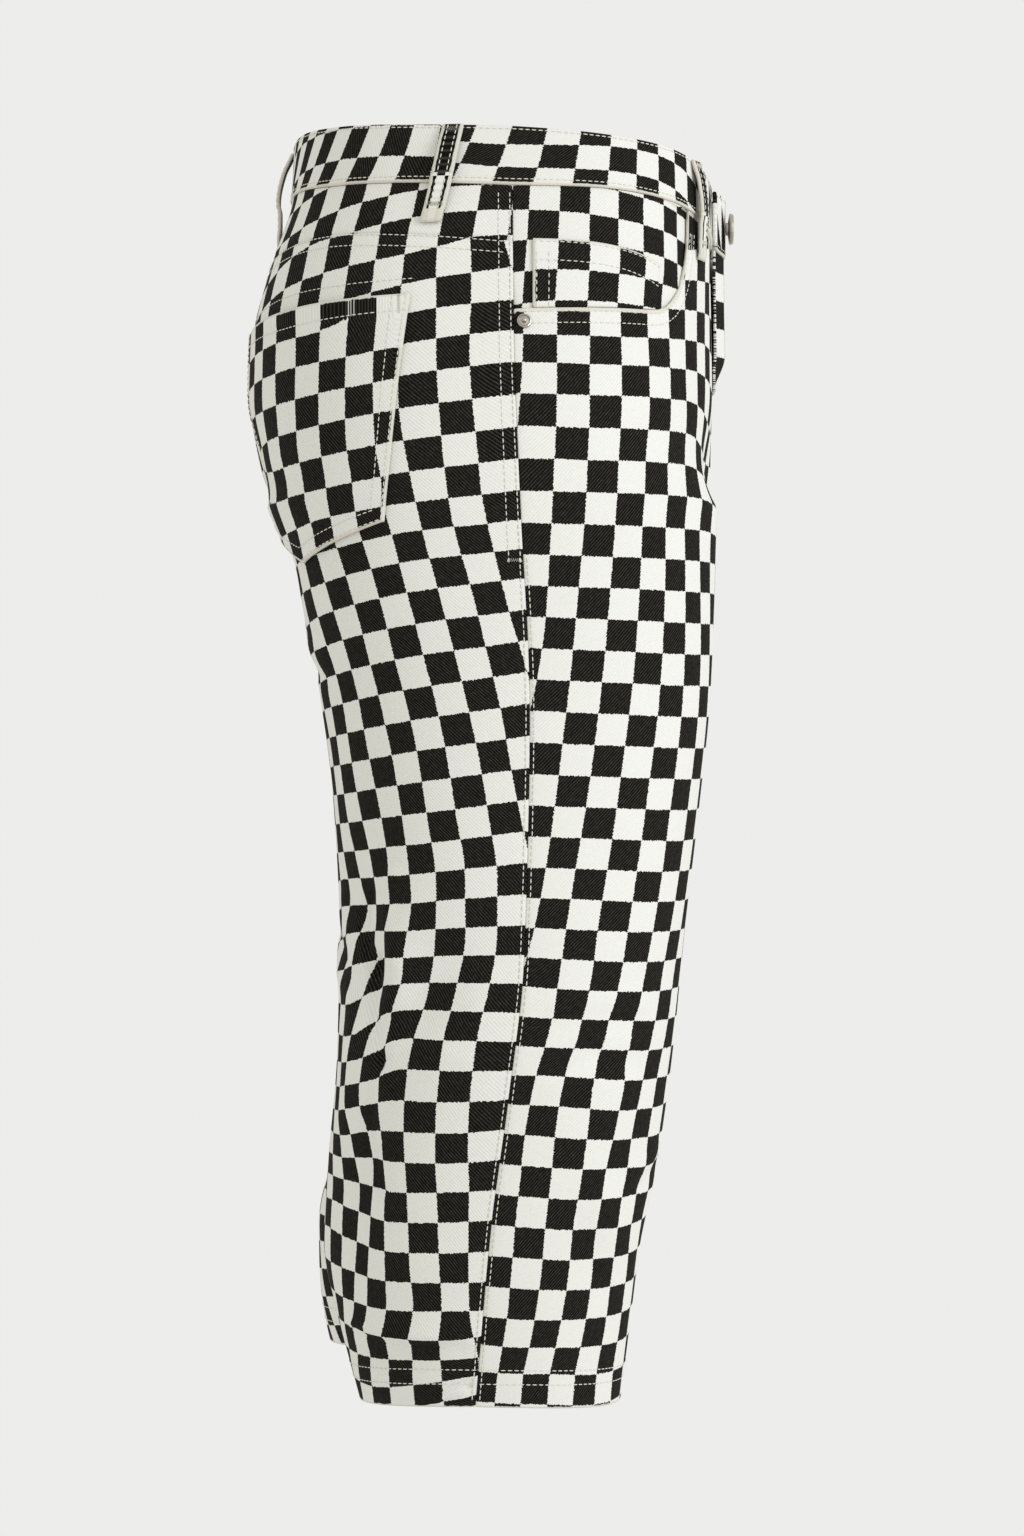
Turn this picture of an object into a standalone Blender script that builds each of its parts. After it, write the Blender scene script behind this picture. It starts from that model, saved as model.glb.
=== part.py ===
"""Barrel jeans in a worn pose, hollow: panels, waistband, pockets, loops, hems and metal trims as closed solids.

Metres, +Z up. The front faces -Y, the wearer's right is -X, and the origin is the middle of the waist's top edge.
A place on the cloth is a height and a distance round the leg or hip from the outseam.
"""

import math

import bmesh
import bpy
import numpy as np

# ---------------------------------------------------------------- driving sizes, in metres
CLOTH = 0.0015
BAND_WALL = 0.0024
SEAM_GAP = 0.0003
LIFT = 0.0005  # clearance of a piece that lies on another
TUCK = 0.0009  # clearance of a piece that lies inside another

CROTCH = -0.240
RISE_CURVE = 0.090  # height over which the crotch seam turns upright
BLEND_BELOW = 0.060  # the thigh starts to turn into the hip this far below the crotch
BLEND_ABOVE = 0.115  # and is all hip this far above it
SEAM_SHARE = 0.74  # part of the way round from which the crotch seam's own curve takes over
HEM_SIDE = -0.641
HEM_FRONT_BACK = -0.647
HEM_TURN = 0.016
STRIDE = 0.025  # how far the left leg's hem stands behind the right one's
STRIDE_TOP = -0.490

SCOOP_LEVEL = -0.0955  # the front pocket's mouth at the outseam
SCOOP_RISE = 0.0045  # it rises by this much towards its corner
SCOOP_REACH = 0.097  # how far in front of the middle it meets the waistband
SCOOP_RADIUS = 0.026
SCOOP_ROUND = 2.4  # power of its rounded corner, 2 being a quarter of an ellipse
FACING_BELOW = 0.010
FACING_SLOPE = 0.028  # length over which the facing dips under the mouth's edge
FACING_PAST = 0.05  # share of the front that it runs on under the panel

COIN_ACROSS = (0.010, 0.083)
COIN_TOP = -0.0595
COIN_DROP = 0.0090  # its top edge falls towards the mouth's corner
COIN_WALL = 0.0012
COIN_CLEAR = 0.0010  # it ends this far inside the mouth's edge

# Back pocket: heights at its outer and inner edge, and their distances from the outseam
POCKET_COLUMNS = ("height_out", "height_in", "edge_out", "edge_in")
POCKET_TOP = (-0.0880, -0.0960, 0.0515, 0.2025)
POCKET_CORNERS = (-0.2020, -0.2005, 0.0685, 0.1945)
POCKET_TIP = 0.0190
POCKET_WALL = 0.0016
POCKET_LIFT = 0.0009
POCKET_GAPE = 0.0022  # how far its mouth stands off at the middle

BAND_PROUD = 0.0008
BAND_LEVEL = -0.020  # a height inside the waistband
ROUNDED = 0.0004  # taken off the edges of the band and the loops

FLY_LENGTH = 0.122  # from the waist's top edge to the fly's foot
FLY_LAP = 0.018  # past the centre front, over the right side
FLY_ROOT = 0.034  # where it leaves the left front
FLY_PROUD = 0.0082
FLY_LEVEL = -0.060  # a height near its head
FLY_TAPER_FROM = 0.72  # share of its length from which it comes down onto the right side
FLY_TAPER = 0.8
FLY_TAIL = 0.028  # its foot rises by this much towards its root
LAP_REST = BAND_WALL + LIFT  # the overlap's edge, at rest on the right side

LOOP_WIDTH = 0.0105
LOOP_WALL = 0.0018
LOOP_LENGTH = 0.051
LOOP_DROP = 0.0006  # from the waist's top edge to the loop's
LOOP_WAYS = {"back": (0.163, 0.210), "front": (0.620, 0.655)}  # head and foot, as shares of the panel
LOOP_ON_BAND = 0.6  # share of its length that lies over the waistband
CENTRE_LOOP_STAND = 0.0036

# A belt loop's path: share of its length, clearance in metres, and walls of cloth
LOOP_COLUMNS = ("share", "out", "walls")
LOOP_PATH = (
    (0.00, 0.0004, 1.0),
    (0.06, 0.0010, 1.0),
    (0.20, 0.0026, 1.0),
    (0.45, 0.0034, 1.0),
    (0.68, 0.0027, 1.0),
    (0.84, 0.0016, 1.1),
    (0.93, 0.0008, 1.5),
    (1.00, 0.0004, 1.2),
)

RIVET_RADIUS = 0.0038
RIVET_HEIGHT = -0.1020
RIVET_ACROSS = 0.0050
BUTTON_RADIUS = 0.0085
BUTTON_X = -0.002

# Profiles of the metal pieces: radius and height as shares of the piece's radius
RIVET_PROFILE = (
    (0.00, 0.62),
    (0.22, 0.56),
    (0.34, 0.20),
    (0.66, 0.16),
    (0.80, 0.34),
    (0.94, 0.28),
    (1.00, 0.00),
)
BUTTON_PROFILE = (
    (0.00, 0.34),
    (0.62, 0.34),
    (0.74, 0.46),
    (0.92, 0.46),
    (1.00, 0.34),
    (0.98, 0.22),
    (0.42, 0.12),
    (0.40, 0.00),
)

# Silhouette and width of the whole garment by height
OUTLINE_COLUMNS = ("height", "half_width", "inner", "front", "back")
OUTLINE = (
    (0.012, 0.132, 0.000, -0.1105, 0.111),
    (-0.021, 0.140, 0.000, -0.1115, 0.113),
    (-0.058, 0.151, 0.000, -0.1115, 0.1245),
    (-0.095, 0.162, 0.000, -0.1120, 0.1335),
    (-0.132, 0.171, 0.000, -0.1125, 0.1350),
    (-0.162, 0.177, 0.000, -0.1122, 0.1305),
    (-0.190, 0.182, 0.000, -0.1112, 0.1190),
    (-0.219, 0.186, 0.001, -0.1100, 0.1070),
    (-0.240, 0.190, 0.0015, -0.1092, 0.1030),
    (-0.290, 0.198, 0.005, -0.1065, 0.0930),
    (-0.345, 0.206, 0.009, -0.1005, 0.0860),
    (-0.407, 0.212, 0.013, -0.0930, 0.0830),
    (-0.467, 0.212, 0.015, -0.0870, 0.0840),
    (-0.528, 0.203, 0.020, -0.0785, 0.0890),
    (-0.567, 0.193, 0.024, -0.0705, 0.0910),
    (-0.600, 0.182, 0.027, -0.0665, 0.0850),
    (-0.650, 0.165, 0.030, -0.0605, 0.0725),
)

OUTSEAM_COLUMNS = ("height", "y")
OUTSEAM = (
    (0.012, -0.005),
    (-0.108, -0.006),
    (-0.190, -0.009),
    (-0.296, -0.0137),
    (-0.415, -0.011),
    (-0.487, -0.003),
    (-0.547, 0.005),
    (-0.650, 0.014),
)

# Edges across the cloth from the outseam (way 0) to the centre front or centre back (way 1)
EDGE_COLUMNS = ("way", "band_top_front", "band_top_back", "band_low_front", "band_low_back", "yoke")
EDGES = (
    (0.00, 0.0000, 0.0000, -0.0310, -0.0310, -0.0600),
    (0.25, -0.0025, 0.0015, -0.0310, -0.0290, -0.0560),
    (0.50, -0.0055, 0.0050, -0.0335, -0.0262, -0.0530),
    (0.75, -0.0120, 0.0080, -0.0405, -0.0225, -0.0560),
    (1.00, -0.0165, 0.0083, -0.0490, -0.0215, -0.0620),
)

# The largest folds: distances in millimetres, lean in degrees (0 runs down, 90 runs across), height outwards
FOLD_COLUMNS = ("side", "panel", "across", "height", "length", "width", "lean", "out")
FOLDS = (
    (-1, "back", 66, -0.428, 60, 11, 6, 4.0),
    (-1, "back", 84, -0.418, 42, 10, -14, -3.6),
    (-1, "back", 46, -0.436, 48, 12, 30, -2.2),
    (-1, "back", 74, -0.530, 70, 12, -4, -3.0),
    (-1, "back", 40, -0.603, 60, 9, 88, 2.6),
    (-1, "back", 44, -0.617, 60, 7, 88, -1.8),
    (-1, "front", 62, -0.545, 50, 12, 34, 2.4),
    (-1, "front", 78, -0.470, 45, 16, 62, -1.8),
    (1, "back", 60, -0.420, 55, 12, -4, 3.6),
    (1, "back", 80, -0.432, 46, 11, 16, -3.4),
    (1, "back", 70, -0.535, 64, 13, 5, -2.6),
    (1, "back", 50, -0.606, 52, 9, 92, 2.2),
    (1, "front", 70, -0.535, 54, 13, -30, 2.2),
    (1, "front", 58, -0.462, 44, 16, 58, -1.8),
)
FOLD_ENDS = 1.7  # how fast a fold fades towards its ends

# Colours (linear) and finish
CHECK_CLOTH = (0.42, 0.41, 0.38, 1.0)
NICKEL = (0.60, 0.58, 0.55, 1.0)
CLOTH_ROUGHNESS = 0.85
NICKEL_ROUGHNESS = 0.30
SHARP_ANGLE = 40

# Grids: heights down a leg below the pieces' own top edges, and columns as shares of the way round
BODY_ROWS = (-0.112, -0.131)
SEAT_ROW = -0.164  # one more row where the seat turns under
RISE_STEPS = 5
LEG_ROWS = (
    -0.260, -0.288, -0.318, -0.350, -0.380, -0.404, -0.422, -0.440, -0.460, -0.482,
    -0.506, -0.528, -0.550, -0.572, -0.590, -0.603, -0.611, -0.620, -0.631,
)  # fmt: skip
TOP_STEPS = 3
MOUTH_STEPS = 6  # columns of the front on each side of the mouth's corner
CORNER_PARTS = (1.0, 0.62, 0.34, 0.14, 0.03, -0.02)  # and round it, as shares of its radius
BACK_STEPS = 14
YOKE_STEPS = 12
FACING_STEPS = 9
FACING_ROWS = 5
COIN_STEPS = 8
COIN_ROWS = 3
POCKET_STEPS = 10
POCKET_ROWS = 8
BAND_STEPS = 15  # for a quarter
BAND_ROWS = (0, 0.08, 0.92, 1)
LAP_XS = (FLY_ROOT, 0.026, 0.018, 0.010, 0.003, -0.004, -0.011, -FLY_LAP)
FLY_ROWS = 8
LOOP_PARTS = (-1, -0.8, 0, 0.8, 1)
HEM_STEPS = 12
TURN_STEPS = 20


# ---------------------------------------------------------------- reading the tables
def column(table, names, name):
    return [row[names.index(name)] for row in table]


def smooth_read(at, keys, values):
    """A smooth curve through (keys, values), with slopes that never overshoot."""
    order = np.argsort(keys)
    x = np.asarray(keys, float)[order]
    y = np.asarray(values, float)[order]
    steps = np.diff(x)
    slopes = np.diff(y) / steps
    bends = np.zeros(len(x))
    for k in range(1, len(x) - 1):
        if slopes[k - 1] * slopes[k] > 0:
            bends[k] = 2 * slopes[k - 1] * slopes[k] / (slopes[k - 1] + slopes[k])
    bends[0], bends[-1] = slopes[0], slopes[-1]
    at = np.clip(at, x[0], x[-1])
    k = np.clip(np.searchsorted(x, at) - 1, 0, len(x) - 2)
    t = (at - x[k]) / steps[k]
    return (
        y[k] * (1 + 2 * t) * (1 - t) ** 2
        + y[k + 1] * t * t * (3 - 2 * t)
        + steps[k] * (bends[k] * t * (1 - t) ** 2 - bends[k + 1] * t * t * (1 - t))
    )


def outline(height, name):
    heights = column(OUTLINE, OUTLINE_COLUMNS, "height")
    return float(smooth_read(height, heights, column(OUTLINE, OUTLINE_COLUMNS, name)))


def edge(way, name):
    ways = column(EDGES, EDGE_COLUMNS, "way")
    return float(smooth_read(way, ways, column(EDGES, EDGE_COLUMNS, name)))


def outseam(height):
    heights = column(OUTSEAM, OUTSEAM_COLUMNS, "height")
    return float(smooth_read(height, heights, column(OUTSEAM, OUTSEAM_COLUMNS, "y")))


def ease(value):
    value = min(max(value, 0.0), 1.0)
    return value * value * (3 - 2 * value)


# ---------------------------------------------------------------- the form of the worn cloth
SECTION_POINTS = 241
TURNS = np.linspace(-1, 1, SECTION_POINTS)  # back inner end, outermost point, front inner end
BODY_SQUARE = 2.5
LEG_SQUARE = 2.15
FINE = 0.001  # step for tangents
sections = {}


def squircle(angles, power):
    """Points of a unit rounded square at the angles: x outwards, y to the front."""
    reach = (np.abs(np.cos(angles)) ** power + np.abs(np.sin(angles)) ** power) ** (-1 / power)
    return reach * np.cos(angles), reach * np.sin(angles)


def section(height):
    """(distances from the outseam, x outwards, y, the outseam's turn) of one half at a height, from the inner end
    round the back, the outseam and the front to the inner end. Below the crotch the ends meet at the inseam."""
    key = round(height, 6)
    if key in sections:
        return sections[key]
    wide, inner = outline(key, "half_width"), outline(key, "inner")
    front, back = outline(key, "front"), outline(key, "back")
    middle, deep = (front + back) / 2, (back - front) / 2
    turn = min(max((key - CROTCH) / RISE_CURVE, 0.0), 1.0)
    at_seam = math.sqrt(1 - (1 - turn) ** 2)
    off_seam = ease((key - CROTCH + BLEND_BELOW) / (BLEND_BELOW + BLEND_ABOVE))
    near = np.array([ease((abs(step) - SEAM_SHARE) / (1 - SEAM_SHARE)) for step in TURNS])
    body = near * at_seam + (1 - near) * off_seam
    leg_x, leg_y = squircle(TURNS * math.pi, LEG_SQUARE)
    body_x, body_y = squircle(TURNS * math.pi / 2, BODY_SQUARE)
    leg_x = (wide + inner) / 2 + (wide - inner) / 2 * leg_x
    x = (1 - body) * leg_x + body * wide * body_x
    y = (1 - body) * leg_y + body * body_y
    y = middle - deep * np.where(y > 0, y / y.max(), y / -y.min())
    x = np.maximum(x, SEAM_GAP / 2)
    along = np.concatenate([[0], np.cumsum(np.hypot(np.diff(x), np.diff(y)))])
    near_seam = slice(SECTION_POINTS // 4, 3 * SECTION_POINTS // 4)
    along -= np.interp(-outseam(key), -y[near_seam], along[near_seam])
    sections[key] = (along, x, y, float(np.interp(0, along, TURNS)))
    return sections[key]


def reach_of(panel, height):
    """Length of the cloth at a height, from the outseam to the panel's inner end."""
    along = section(height)[0]
    return along[-1] if panel == "front" else -along[0]


def across_at(panel, way, height):
    """Distance from the outseam at a share of the turn from the outseam to the panel's inner end."""
    along, _, _, seam = section(height)
    turn = seam + way * (1 - seam) if panel == "front" else seam - way * (1 + seam)
    return abs(float(np.interp(turn, TURNS, along)))


def way_at(panel, across, height):
    """The share of the turn that lies at a distance from the outseam."""
    along, _, _, seam = section(height)
    if panel == "front":
        return (float(np.interp(across, along, TURNS)) - seam) / (1 - seam)
    return (seam - float(np.interp(-across, along, TURNS))) / (1 + seam)


def fold_out(side, panel, across, height):
    """How far the folds push the cloth out at a place."""
    out = 0.0
    for row in FOLDS:
        fold = dict(zip(FOLD_COLUMNS, row))
        if fold["side"] != side or fold["panel"] != panel:
            continue
        right = 1000 * across - fold["across"]
        down = 1000 * (fold["height"] - height)
        lean = math.radians(fold["lean"])
        along = down * math.cos(lean) + right * math.sin(lean)
        beside = right * math.cos(lean) - down * math.sin(lean)
        out += fold["out"] * math.exp(-((along / fold["length"] * FOLD_ENDS) ** 2) - (beside / fold["width"]) ** 2)
    return 0.001 * out


def bare_point(side, panel, across, height):
    sign = 1 if panel == "front" else -1
    along, x, y, _ = section(height)
    x = float(np.interp(sign * across, along, x))
    y = float(np.interp(sign * across, along, y))
    if side > 0:
        y += STRIDE * ease((STRIDE_TOP - height) / (STRIDE_TOP - HEM_FRONT_BACK))
    return np.array([side * x, y, height])


def normal_at(side, panel, across, height):
    """Unit normal of the cloth, pointing out of the garment."""
    low, high = across - 3 * FINE, min(across + 3 * FINE, reach_of(panel, height))
    round_way = bare_point(side, panel, high, height) - bare_point(side, panel, low, height)
    above, below = height + FINE, height - FINE
    level = min(across, reach_of(panel, above), reach_of(panel, below))
    up_way = bare_point(side, panel, level, above) - bare_point(side, panel, level, below)
    normal = np.cross(round_way, up_way)
    normal /= np.linalg.norm(normal)
    facing = 1 if panel == "front" else -1
    return normal * facing * side * -1


def cloth_point(side, panel, across, height, out=0.0):
    """A place on the cloth's outer face, moved out by so much."""
    normal = normal_at(side, panel, across, height)
    out += fold_out(side, panel, across, height)
    point = bare_point(side, panel, across, height) + normal * out
    if side * point[0] < SEAM_GAP / 2:
        point[0] = side * SEAM_GAP / 2
    return point


# ---------------------------------------------------------------- solids from grids of points
def material(name, colour, roughness, metallic):
    made = bpy.data.materials.new(name)
    made.use_nodes = True
    shader = made.node_tree.nodes["Principled BSDF"]
    shader.inputs["Base Color"].default_value = colour
    shader.inputs["Roughness"].default_value = roughness
    shader.inputs["Metallic"].default_value = metallic
    return made


def add_object(name, mesh_data, colour=CHECK_CLOTH, roughness=CLOTH_ROUGHNESS, metallic=0.0):
    bmesh.ops.recalc_face_normals(mesh_data, faces=mesh_data.faces)
    mesh = bpy.data.meshes.new(name)
    mesh_data.to_mesh(mesh)
    mesh_data.free()
    mesh.shade_smooth()
    mesh.set_sharp_from_angle(angle=math.radians(SHARP_ANGLE))
    mesh.materials.append(material(name, colour, roughness, metallic))
    made = bpy.data.objects.new(name, mesh)
    bpy.context.scene.collection.objects.link(made)
    return made


def wall_solid(name, outer, inner, ring=False):
    """One closed wall from two grids of points, outer and inner. With ring, the last column meets the first."""
    rows, columns = len(outer), len(outer[0])
    data = bmesh.new()
    faces = [[[data.verts.new(point) for point in row] for row in grid] for grid in (outer, inner)]
    spans = columns if ring else columns - 1

    def quad(a, b, c, d):
        data.faces.new((a, b, c, d))

    for grid in faces:
        for i in range(rows - 1):
            for j in range(spans):
                k = (j + 1) % columns
                quad(grid[i][j], grid[i][k], grid[i + 1][k], grid[i + 1][j])
    for i in (0, rows - 1):
        for j in range(spans):
            k = (j + 1) % columns
            quad(faces[0][i][j], faces[0][i][k], faces[1][i][k], faces[1][i][j])
    if not ring:
        for j in (0, columns - 1):
            for i in range(rows - 1):
                quad(faces[0][i][j], faces[0][i + 1][j], faces[1][i + 1][j], faces[1][i][j])
    return add_object(name, data)


def cloth_wall(name, side, panel, places, out=0.0, wall=CLOTH):
    """A wall on the cloth's form. places is a grid of (across, height), out a number or a function of a place."""
    lift = out if callable(out) else lambda across, height: out
    outer = [[cloth_point(side, panel, a, h, lift(a, h)) for a, h in row] for row in places]
    inner = [[cloth_point(side, panel, a, h, lift(a, h) - wall) for a, h in row] for row in places]
    return wall_solid(name, outer, inner)


# ---------------------------------------------------------------- panels
def hem_height(way):
    return HEM_SIDE + (HEM_FRONT_BACK - HEM_SIDE) * math.sin(math.pi * way) ** 2


def rise_rows():
    """Heights round the crotch seam, close together where it runs level."""
    rows = [CROTCH + RISE_CURVE * (1 - math.cos(math.pi / 2 * k / RISE_STEPS)) for k in range(RISE_STEPS + 1)]
    return sorted(rows + [SEAT_ROW], reverse=True)


def place(panel, way, height):
    """(across, height) for a share of the turn from the outseam to the inner end, half a seam gap short of each."""
    across = across_at(panel, way, height)
    return min(max(across, SEAM_GAP / 2), reach_of(panel, height) - SEAM_GAP / 2), height


def panel_places(panel, ways, top):
    """The grid of a leg panel: from its own top edge down to the hem."""
    fixed = list(BODY_ROWS) + rise_rows() + list(LEG_ROWS)
    places = []
    for k in range(TOP_STEPS):
        share = k / TOP_STEPS
        places.append([place(panel, way, top(way) * (1 - share) + fixed[0] * share) for way in ways])
    for height in fixed:
        places.append([place(panel, way, height) for way in ways])
    places.append([place(panel, way, hem_height(way)) for way in ways])
    return places


def mouth_way():
    """Share of the front at which the pocket's mouth meets the waistband."""
    height = (SCOOP_LEVEL + edge(LOOP_WAYS["front"][1], "band_low_front")) / 2
    along, _, y, _ = section(height)
    front = along > 0
    return way_at("front", float(np.interp(SCOOP_REACH, -y[front], along[front])), height)


MOUTH_WAY = mouth_way()
FRONT_REACH = reach_of("front", SCOOP_LEVEL)


def scoop_level(way):
    return SCOOP_LEVEL + SCOOP_RISE * min(way / MOUTH_WAY, 1)


def scoop_height(way):
    """Height of the mouth's edge: rising a little from the outseam, then round a quarter up to the waistband."""
    radius = SCOOP_RADIUS / FRONT_REACH
    level = scoop_level(way)
    top = edge(way, "band_low_front") - SEAM_GAP
    past = (way - (MOUTH_WAY - radius)) / radius
    if past <= 0:
        return level
    if past >= 1:
        return top
    return level + (top - level) * (1 - math.sqrt(1 - past**SCOOP_ROUND))


def front_panel(side, name):
    corner = SCOOP_RADIUS / FRONT_REACH
    ways = [(MOUTH_WAY - corner) * k / MOUTH_STEPS for k in range(MOUTH_STEPS)]
    ways += [MOUTH_WAY - corner * part for part in CORNER_PARTS]
    ways += [MOUTH_WAY + (1 - MOUTH_WAY) * k / MOUTH_STEPS for k in range(1, MOUTH_STEPS + 1)]
    cloth_wall(name, side, "front", panel_places("front", ways, scoop_height))


def yoke_seam(way):
    return edge(way, "yoke") - SEAM_GAP


def back_panel(side, name):
    ways = [k / BACK_STEPS for k in range(BACK_STEPS + 1)]
    cloth_wall(name, side, "back", panel_places("back", ways, yoke_seam))


def yoke(side, name):
    ways = [k / YOKE_STEPS for k in range(YOKE_STEPS + 1)]
    places = []
    for share in (0, 0.5, 1):
        row = []
        for way in ways:
            top = edge(way, "band_low_back") - SEAM_GAP
            row.append(place("back", way, top * (1 - share) + edge(way, "yoke") * share))
        places.append(row)
    cloth_wall(name, side, "back", places)


# ---------------------------------------------------------------- front pocket
def facing_depth(way, height):
    """The facing lies flush at the outseam and the waist, and dips under the mouth's edge."""
    level_room = height - scoop_level(way)
    side_room = (MOUTH_WAY - way) * FRONT_REACH
    room = min(level_room, side_room) / FACING_SLOPE
    return -(CLOTH + TUCK) * (1 - ease(room))


def pocket_facing(side, name):
    ways = [MOUTH_WAY * k / FACING_STEPS for k in range(FACING_STEPS + 1)] + [MOUTH_WAY + FACING_PAST]
    places = []
    for i in range(FACING_ROWS + 1):
        share = i / FACING_ROWS
        row = []
        for way in ways:
            top = edge(way, "band_low_front") - SEAM_GAP
            row.append(place("front", way, top * (1 - share) + (scoop_level(way) - FACING_BELOW) * share))
        places.append(row)

    def lift(across, height):
        return facing_depth(way_at("front", across, height), height)

    cloth_wall(name, side, "front", places, out=lift)


def coin_pocket(side, name):
    places = []
    for i in range(COIN_ROWS + 1):
        share = i / COIN_ROWS
        row = []
        for k in range(COIN_STEPS + 1):
            part = k / COIN_STEPS
            across = COIN_ACROSS[0] + (COIN_ACROSS[1] - COIN_ACROSS[0]) * part
            top = COIN_TOP - COIN_DROP * part**3
            low = scoop_height(way_at("front", across, SCOOP_LEVEL)) + COIN_CLEAR
            row.append((across, top * (1 - share) + low * share))
        places.append(row)

    def lift(across, height):
        return facing_depth(way_at("front", across, height), height) + LIFT + COIN_WALL

    cloth_wall(name, side, "front", places, out=lift, wall=COIN_WALL)


# ---------------------------------------------------------------- back pocket
def back_pocket(side, name):
    top = dict(zip(POCKET_COLUMNS, POCKET_TOP))
    low = dict(zip(POCKET_COLUMNS, POCKET_CORNERS))
    places = []
    for i in range(POCKET_ROWS + 1):
        share = i / POCKET_ROWS
        row = []
        for j in range(POCKET_STEPS + 1):
            part = j / POCKET_STEPS
            start = top["edge_out"] * (1 - share) + low["edge_out"] * share
            end = top["edge_in"] * (1 - share) + low["edge_in"] * share
            head = top["height_out"] * (1 - part) + top["height_in"] * part
            foot = low["height_out"] * (1 - part) + low["height_in"] * part
            foot -= POCKET_TIP * (1 - abs(2 * part - 1))
            row.append((start + (end - start) * part, head * (1 - share) + foot * share))
        places.append(row)

    def lift(across, height):
        gape = ease((height - low["height_out"]) / (top["height_out"] - low["height_out"])) ** 6
        part = (across - top["edge_out"]) / (top["edge_in"] - top["edge_out"])
        middle = math.sin(math.pi * min(max(part, 0), 1))
        return POCKET_LIFT + POCKET_WALL + POCKET_GAPE * gape * middle

    cloth_wall(name, side, "back", places, out=lift, wall=POCKET_WALL)


# ---------------------------------------------------------------- waistband
def band_column(side, panel, way, out=0.0):
    """Outer and inner points of the waistband at one place, top to bottom."""
    top = edge(way, "band_top_" + panel)
    low = edge(way, "band_low_" + panel)
    outer, inner = [], []
    for share in BAND_ROWS:
        height = top * (1 - share) + low * share
        rounded = ROUNDED if share in (0, 1) else 0.0
        across = across_at(panel, way, height)
        outer.append(cloth_point(side, panel, across, height, BAND_PROUD - rounded + out))
        inner.append(cloth_point(side, panel, across, height, BAND_PROUD - BAND_WALL + rounded + out))
    return outer, inner


def lap_out(x):
    """How far the overlap stands off the right front at a place x across the centre front."""
    if x > 0:
        return FLY_PROUD * ease((FLY_ROOT - x) / FLY_ROOT)
    return FLY_PROUD + (LAP_REST - FLY_PROUD) * ease(-x / FLY_LAP)


def lap_way(x, height):
    """Share of the front at which the cloth is x from the centre plane."""
    along, across_x, _, _ = section(height)
    front = along > 0
    order = slice(None, None, -1)
    found = np.interp(abs(x), across_x[front][order], along[front][order])
    return way_at("front", float(found), height)


def waistband(name):
    columns = []
    steps = [k / BAND_STEPS for k in range(BAND_STEPS + 1)]
    for way in reversed(steps):
        columns.append(band_column(-1, "front", way))
    for way in steps[1:]:
        columns.append(band_column(-1, "back", way))
    for way in list(reversed(steps))[1:]:
        columns.append(band_column(1, "back", way))
    for way in steps[1:]:
        if way < lap_way(FLY_ROOT, BAND_LEVEL):
            columns.append(band_column(1, "front", way))
    for x in LAP_XS:
        side = 1 if x > 0 else -1
        columns.append(band_column(side, "front", lap_way(x, BAND_LEVEL), lap_out(x)))
    centre_back = columns[2 * BAND_STEPS]
    for points in centre_back:
        for point in points:
            point[0] = 0.0
    rows = range(len(BAND_ROWS))
    outer = [[outer_points[i] for outer_points, _ in columns] for i in rows]
    inner = [[inner_points[i] for _, inner_points in columns] for i in rows]
    wall_solid(name, outer, inner)


# ---------------------------------------------------------------- fly
def fly_overlap(name):
    """The left front's edge: leaves the left side, stands proud over the centre and comes down on the right."""
    outer, inner = [], []
    for i in range(FLY_ROWS + 1):
        share = i / FLY_ROWS
        flat = 1 - ease((share - FLY_TAPER_FROM) / (1 - FLY_TAPER_FROM)) * FLY_TAPER
        outer_row, inner_row = [], []
        for x in LAP_XS:
            side = 1 if x > 0 else -1
            top = edge(lap_way(x, FLY_LEVEL), "band_low_front") - SEAM_GAP
            tail = FLY_TAIL * ease(max(x, 0) / FLY_ROOT) - FLY_LENGTH
            height = top * (1 - share) + tail * share
            across = across_at("front", lap_way(x, height), height)
            out = max(lap_out(x) * flat, CLOTH + LIFT)
            outer_row.append(cloth_point(side, "front", across, height, out))
            inner_row.append(cloth_point(side, "front", across, height, out - CLOTH))
        outer.append(outer_row)
        inner.append(inner_row)
    wall_solid(name, outer, inner)


# ---------------------------------------------------------------- belt loops
def belt_loop(name, side, panel, way_top, way_foot, stand=0.0):
    """A strip tacked at the waistband's top edge and below its seam, standing off the cloth between."""
    outer, inner = [], []
    top = edge(way_top, "band_top_" + panel) - LOOP_DROP
    for row in LOOP_PATH:
        step = dict(zip(LOOP_COLUMNS, row))
        height = top - LOOP_LENGTH * step["share"]
        way = way_top + (way_foot - way_top) * step["share"]
        centre = across_at(panel, way, height)
        off = step["out"] + stand * math.sin(math.pi * step["share"])
        if step["share"] < LOOP_ON_BAND:
            off += BAND_PROUD
        wall = step["walls"] * LOOP_WALL
        outer_row, inner_row = [], []
        for part in LOOP_PARTS:
            point_side, across = past_centre(side, panel, centre + part * LOOP_WIDTH / 2, height)
            rounded = ROUNDED if abs(part) == 1 else 0.0
            outer_row.append(free_point(point_side, panel, across, height, off + wall - rounded))
            inner_row.append(free_point(point_side, panel, across, height, off + rounded))
        outer.append(outer_row)
        inner.append(inner_row)
    wall_solid(name, outer, inner)


def past_centre(side, panel, across, height):
    """A place that runs over the centre line lies on the other side."""
    reach = reach_of(panel, height)
    if across > reach:
        return -side, 2 * reach - across
    return side, across


def free_point(side, panel, across, height, out):
    return bare_point(side, panel, across, height) + normal_at(side, panel, across, height) * out


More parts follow.
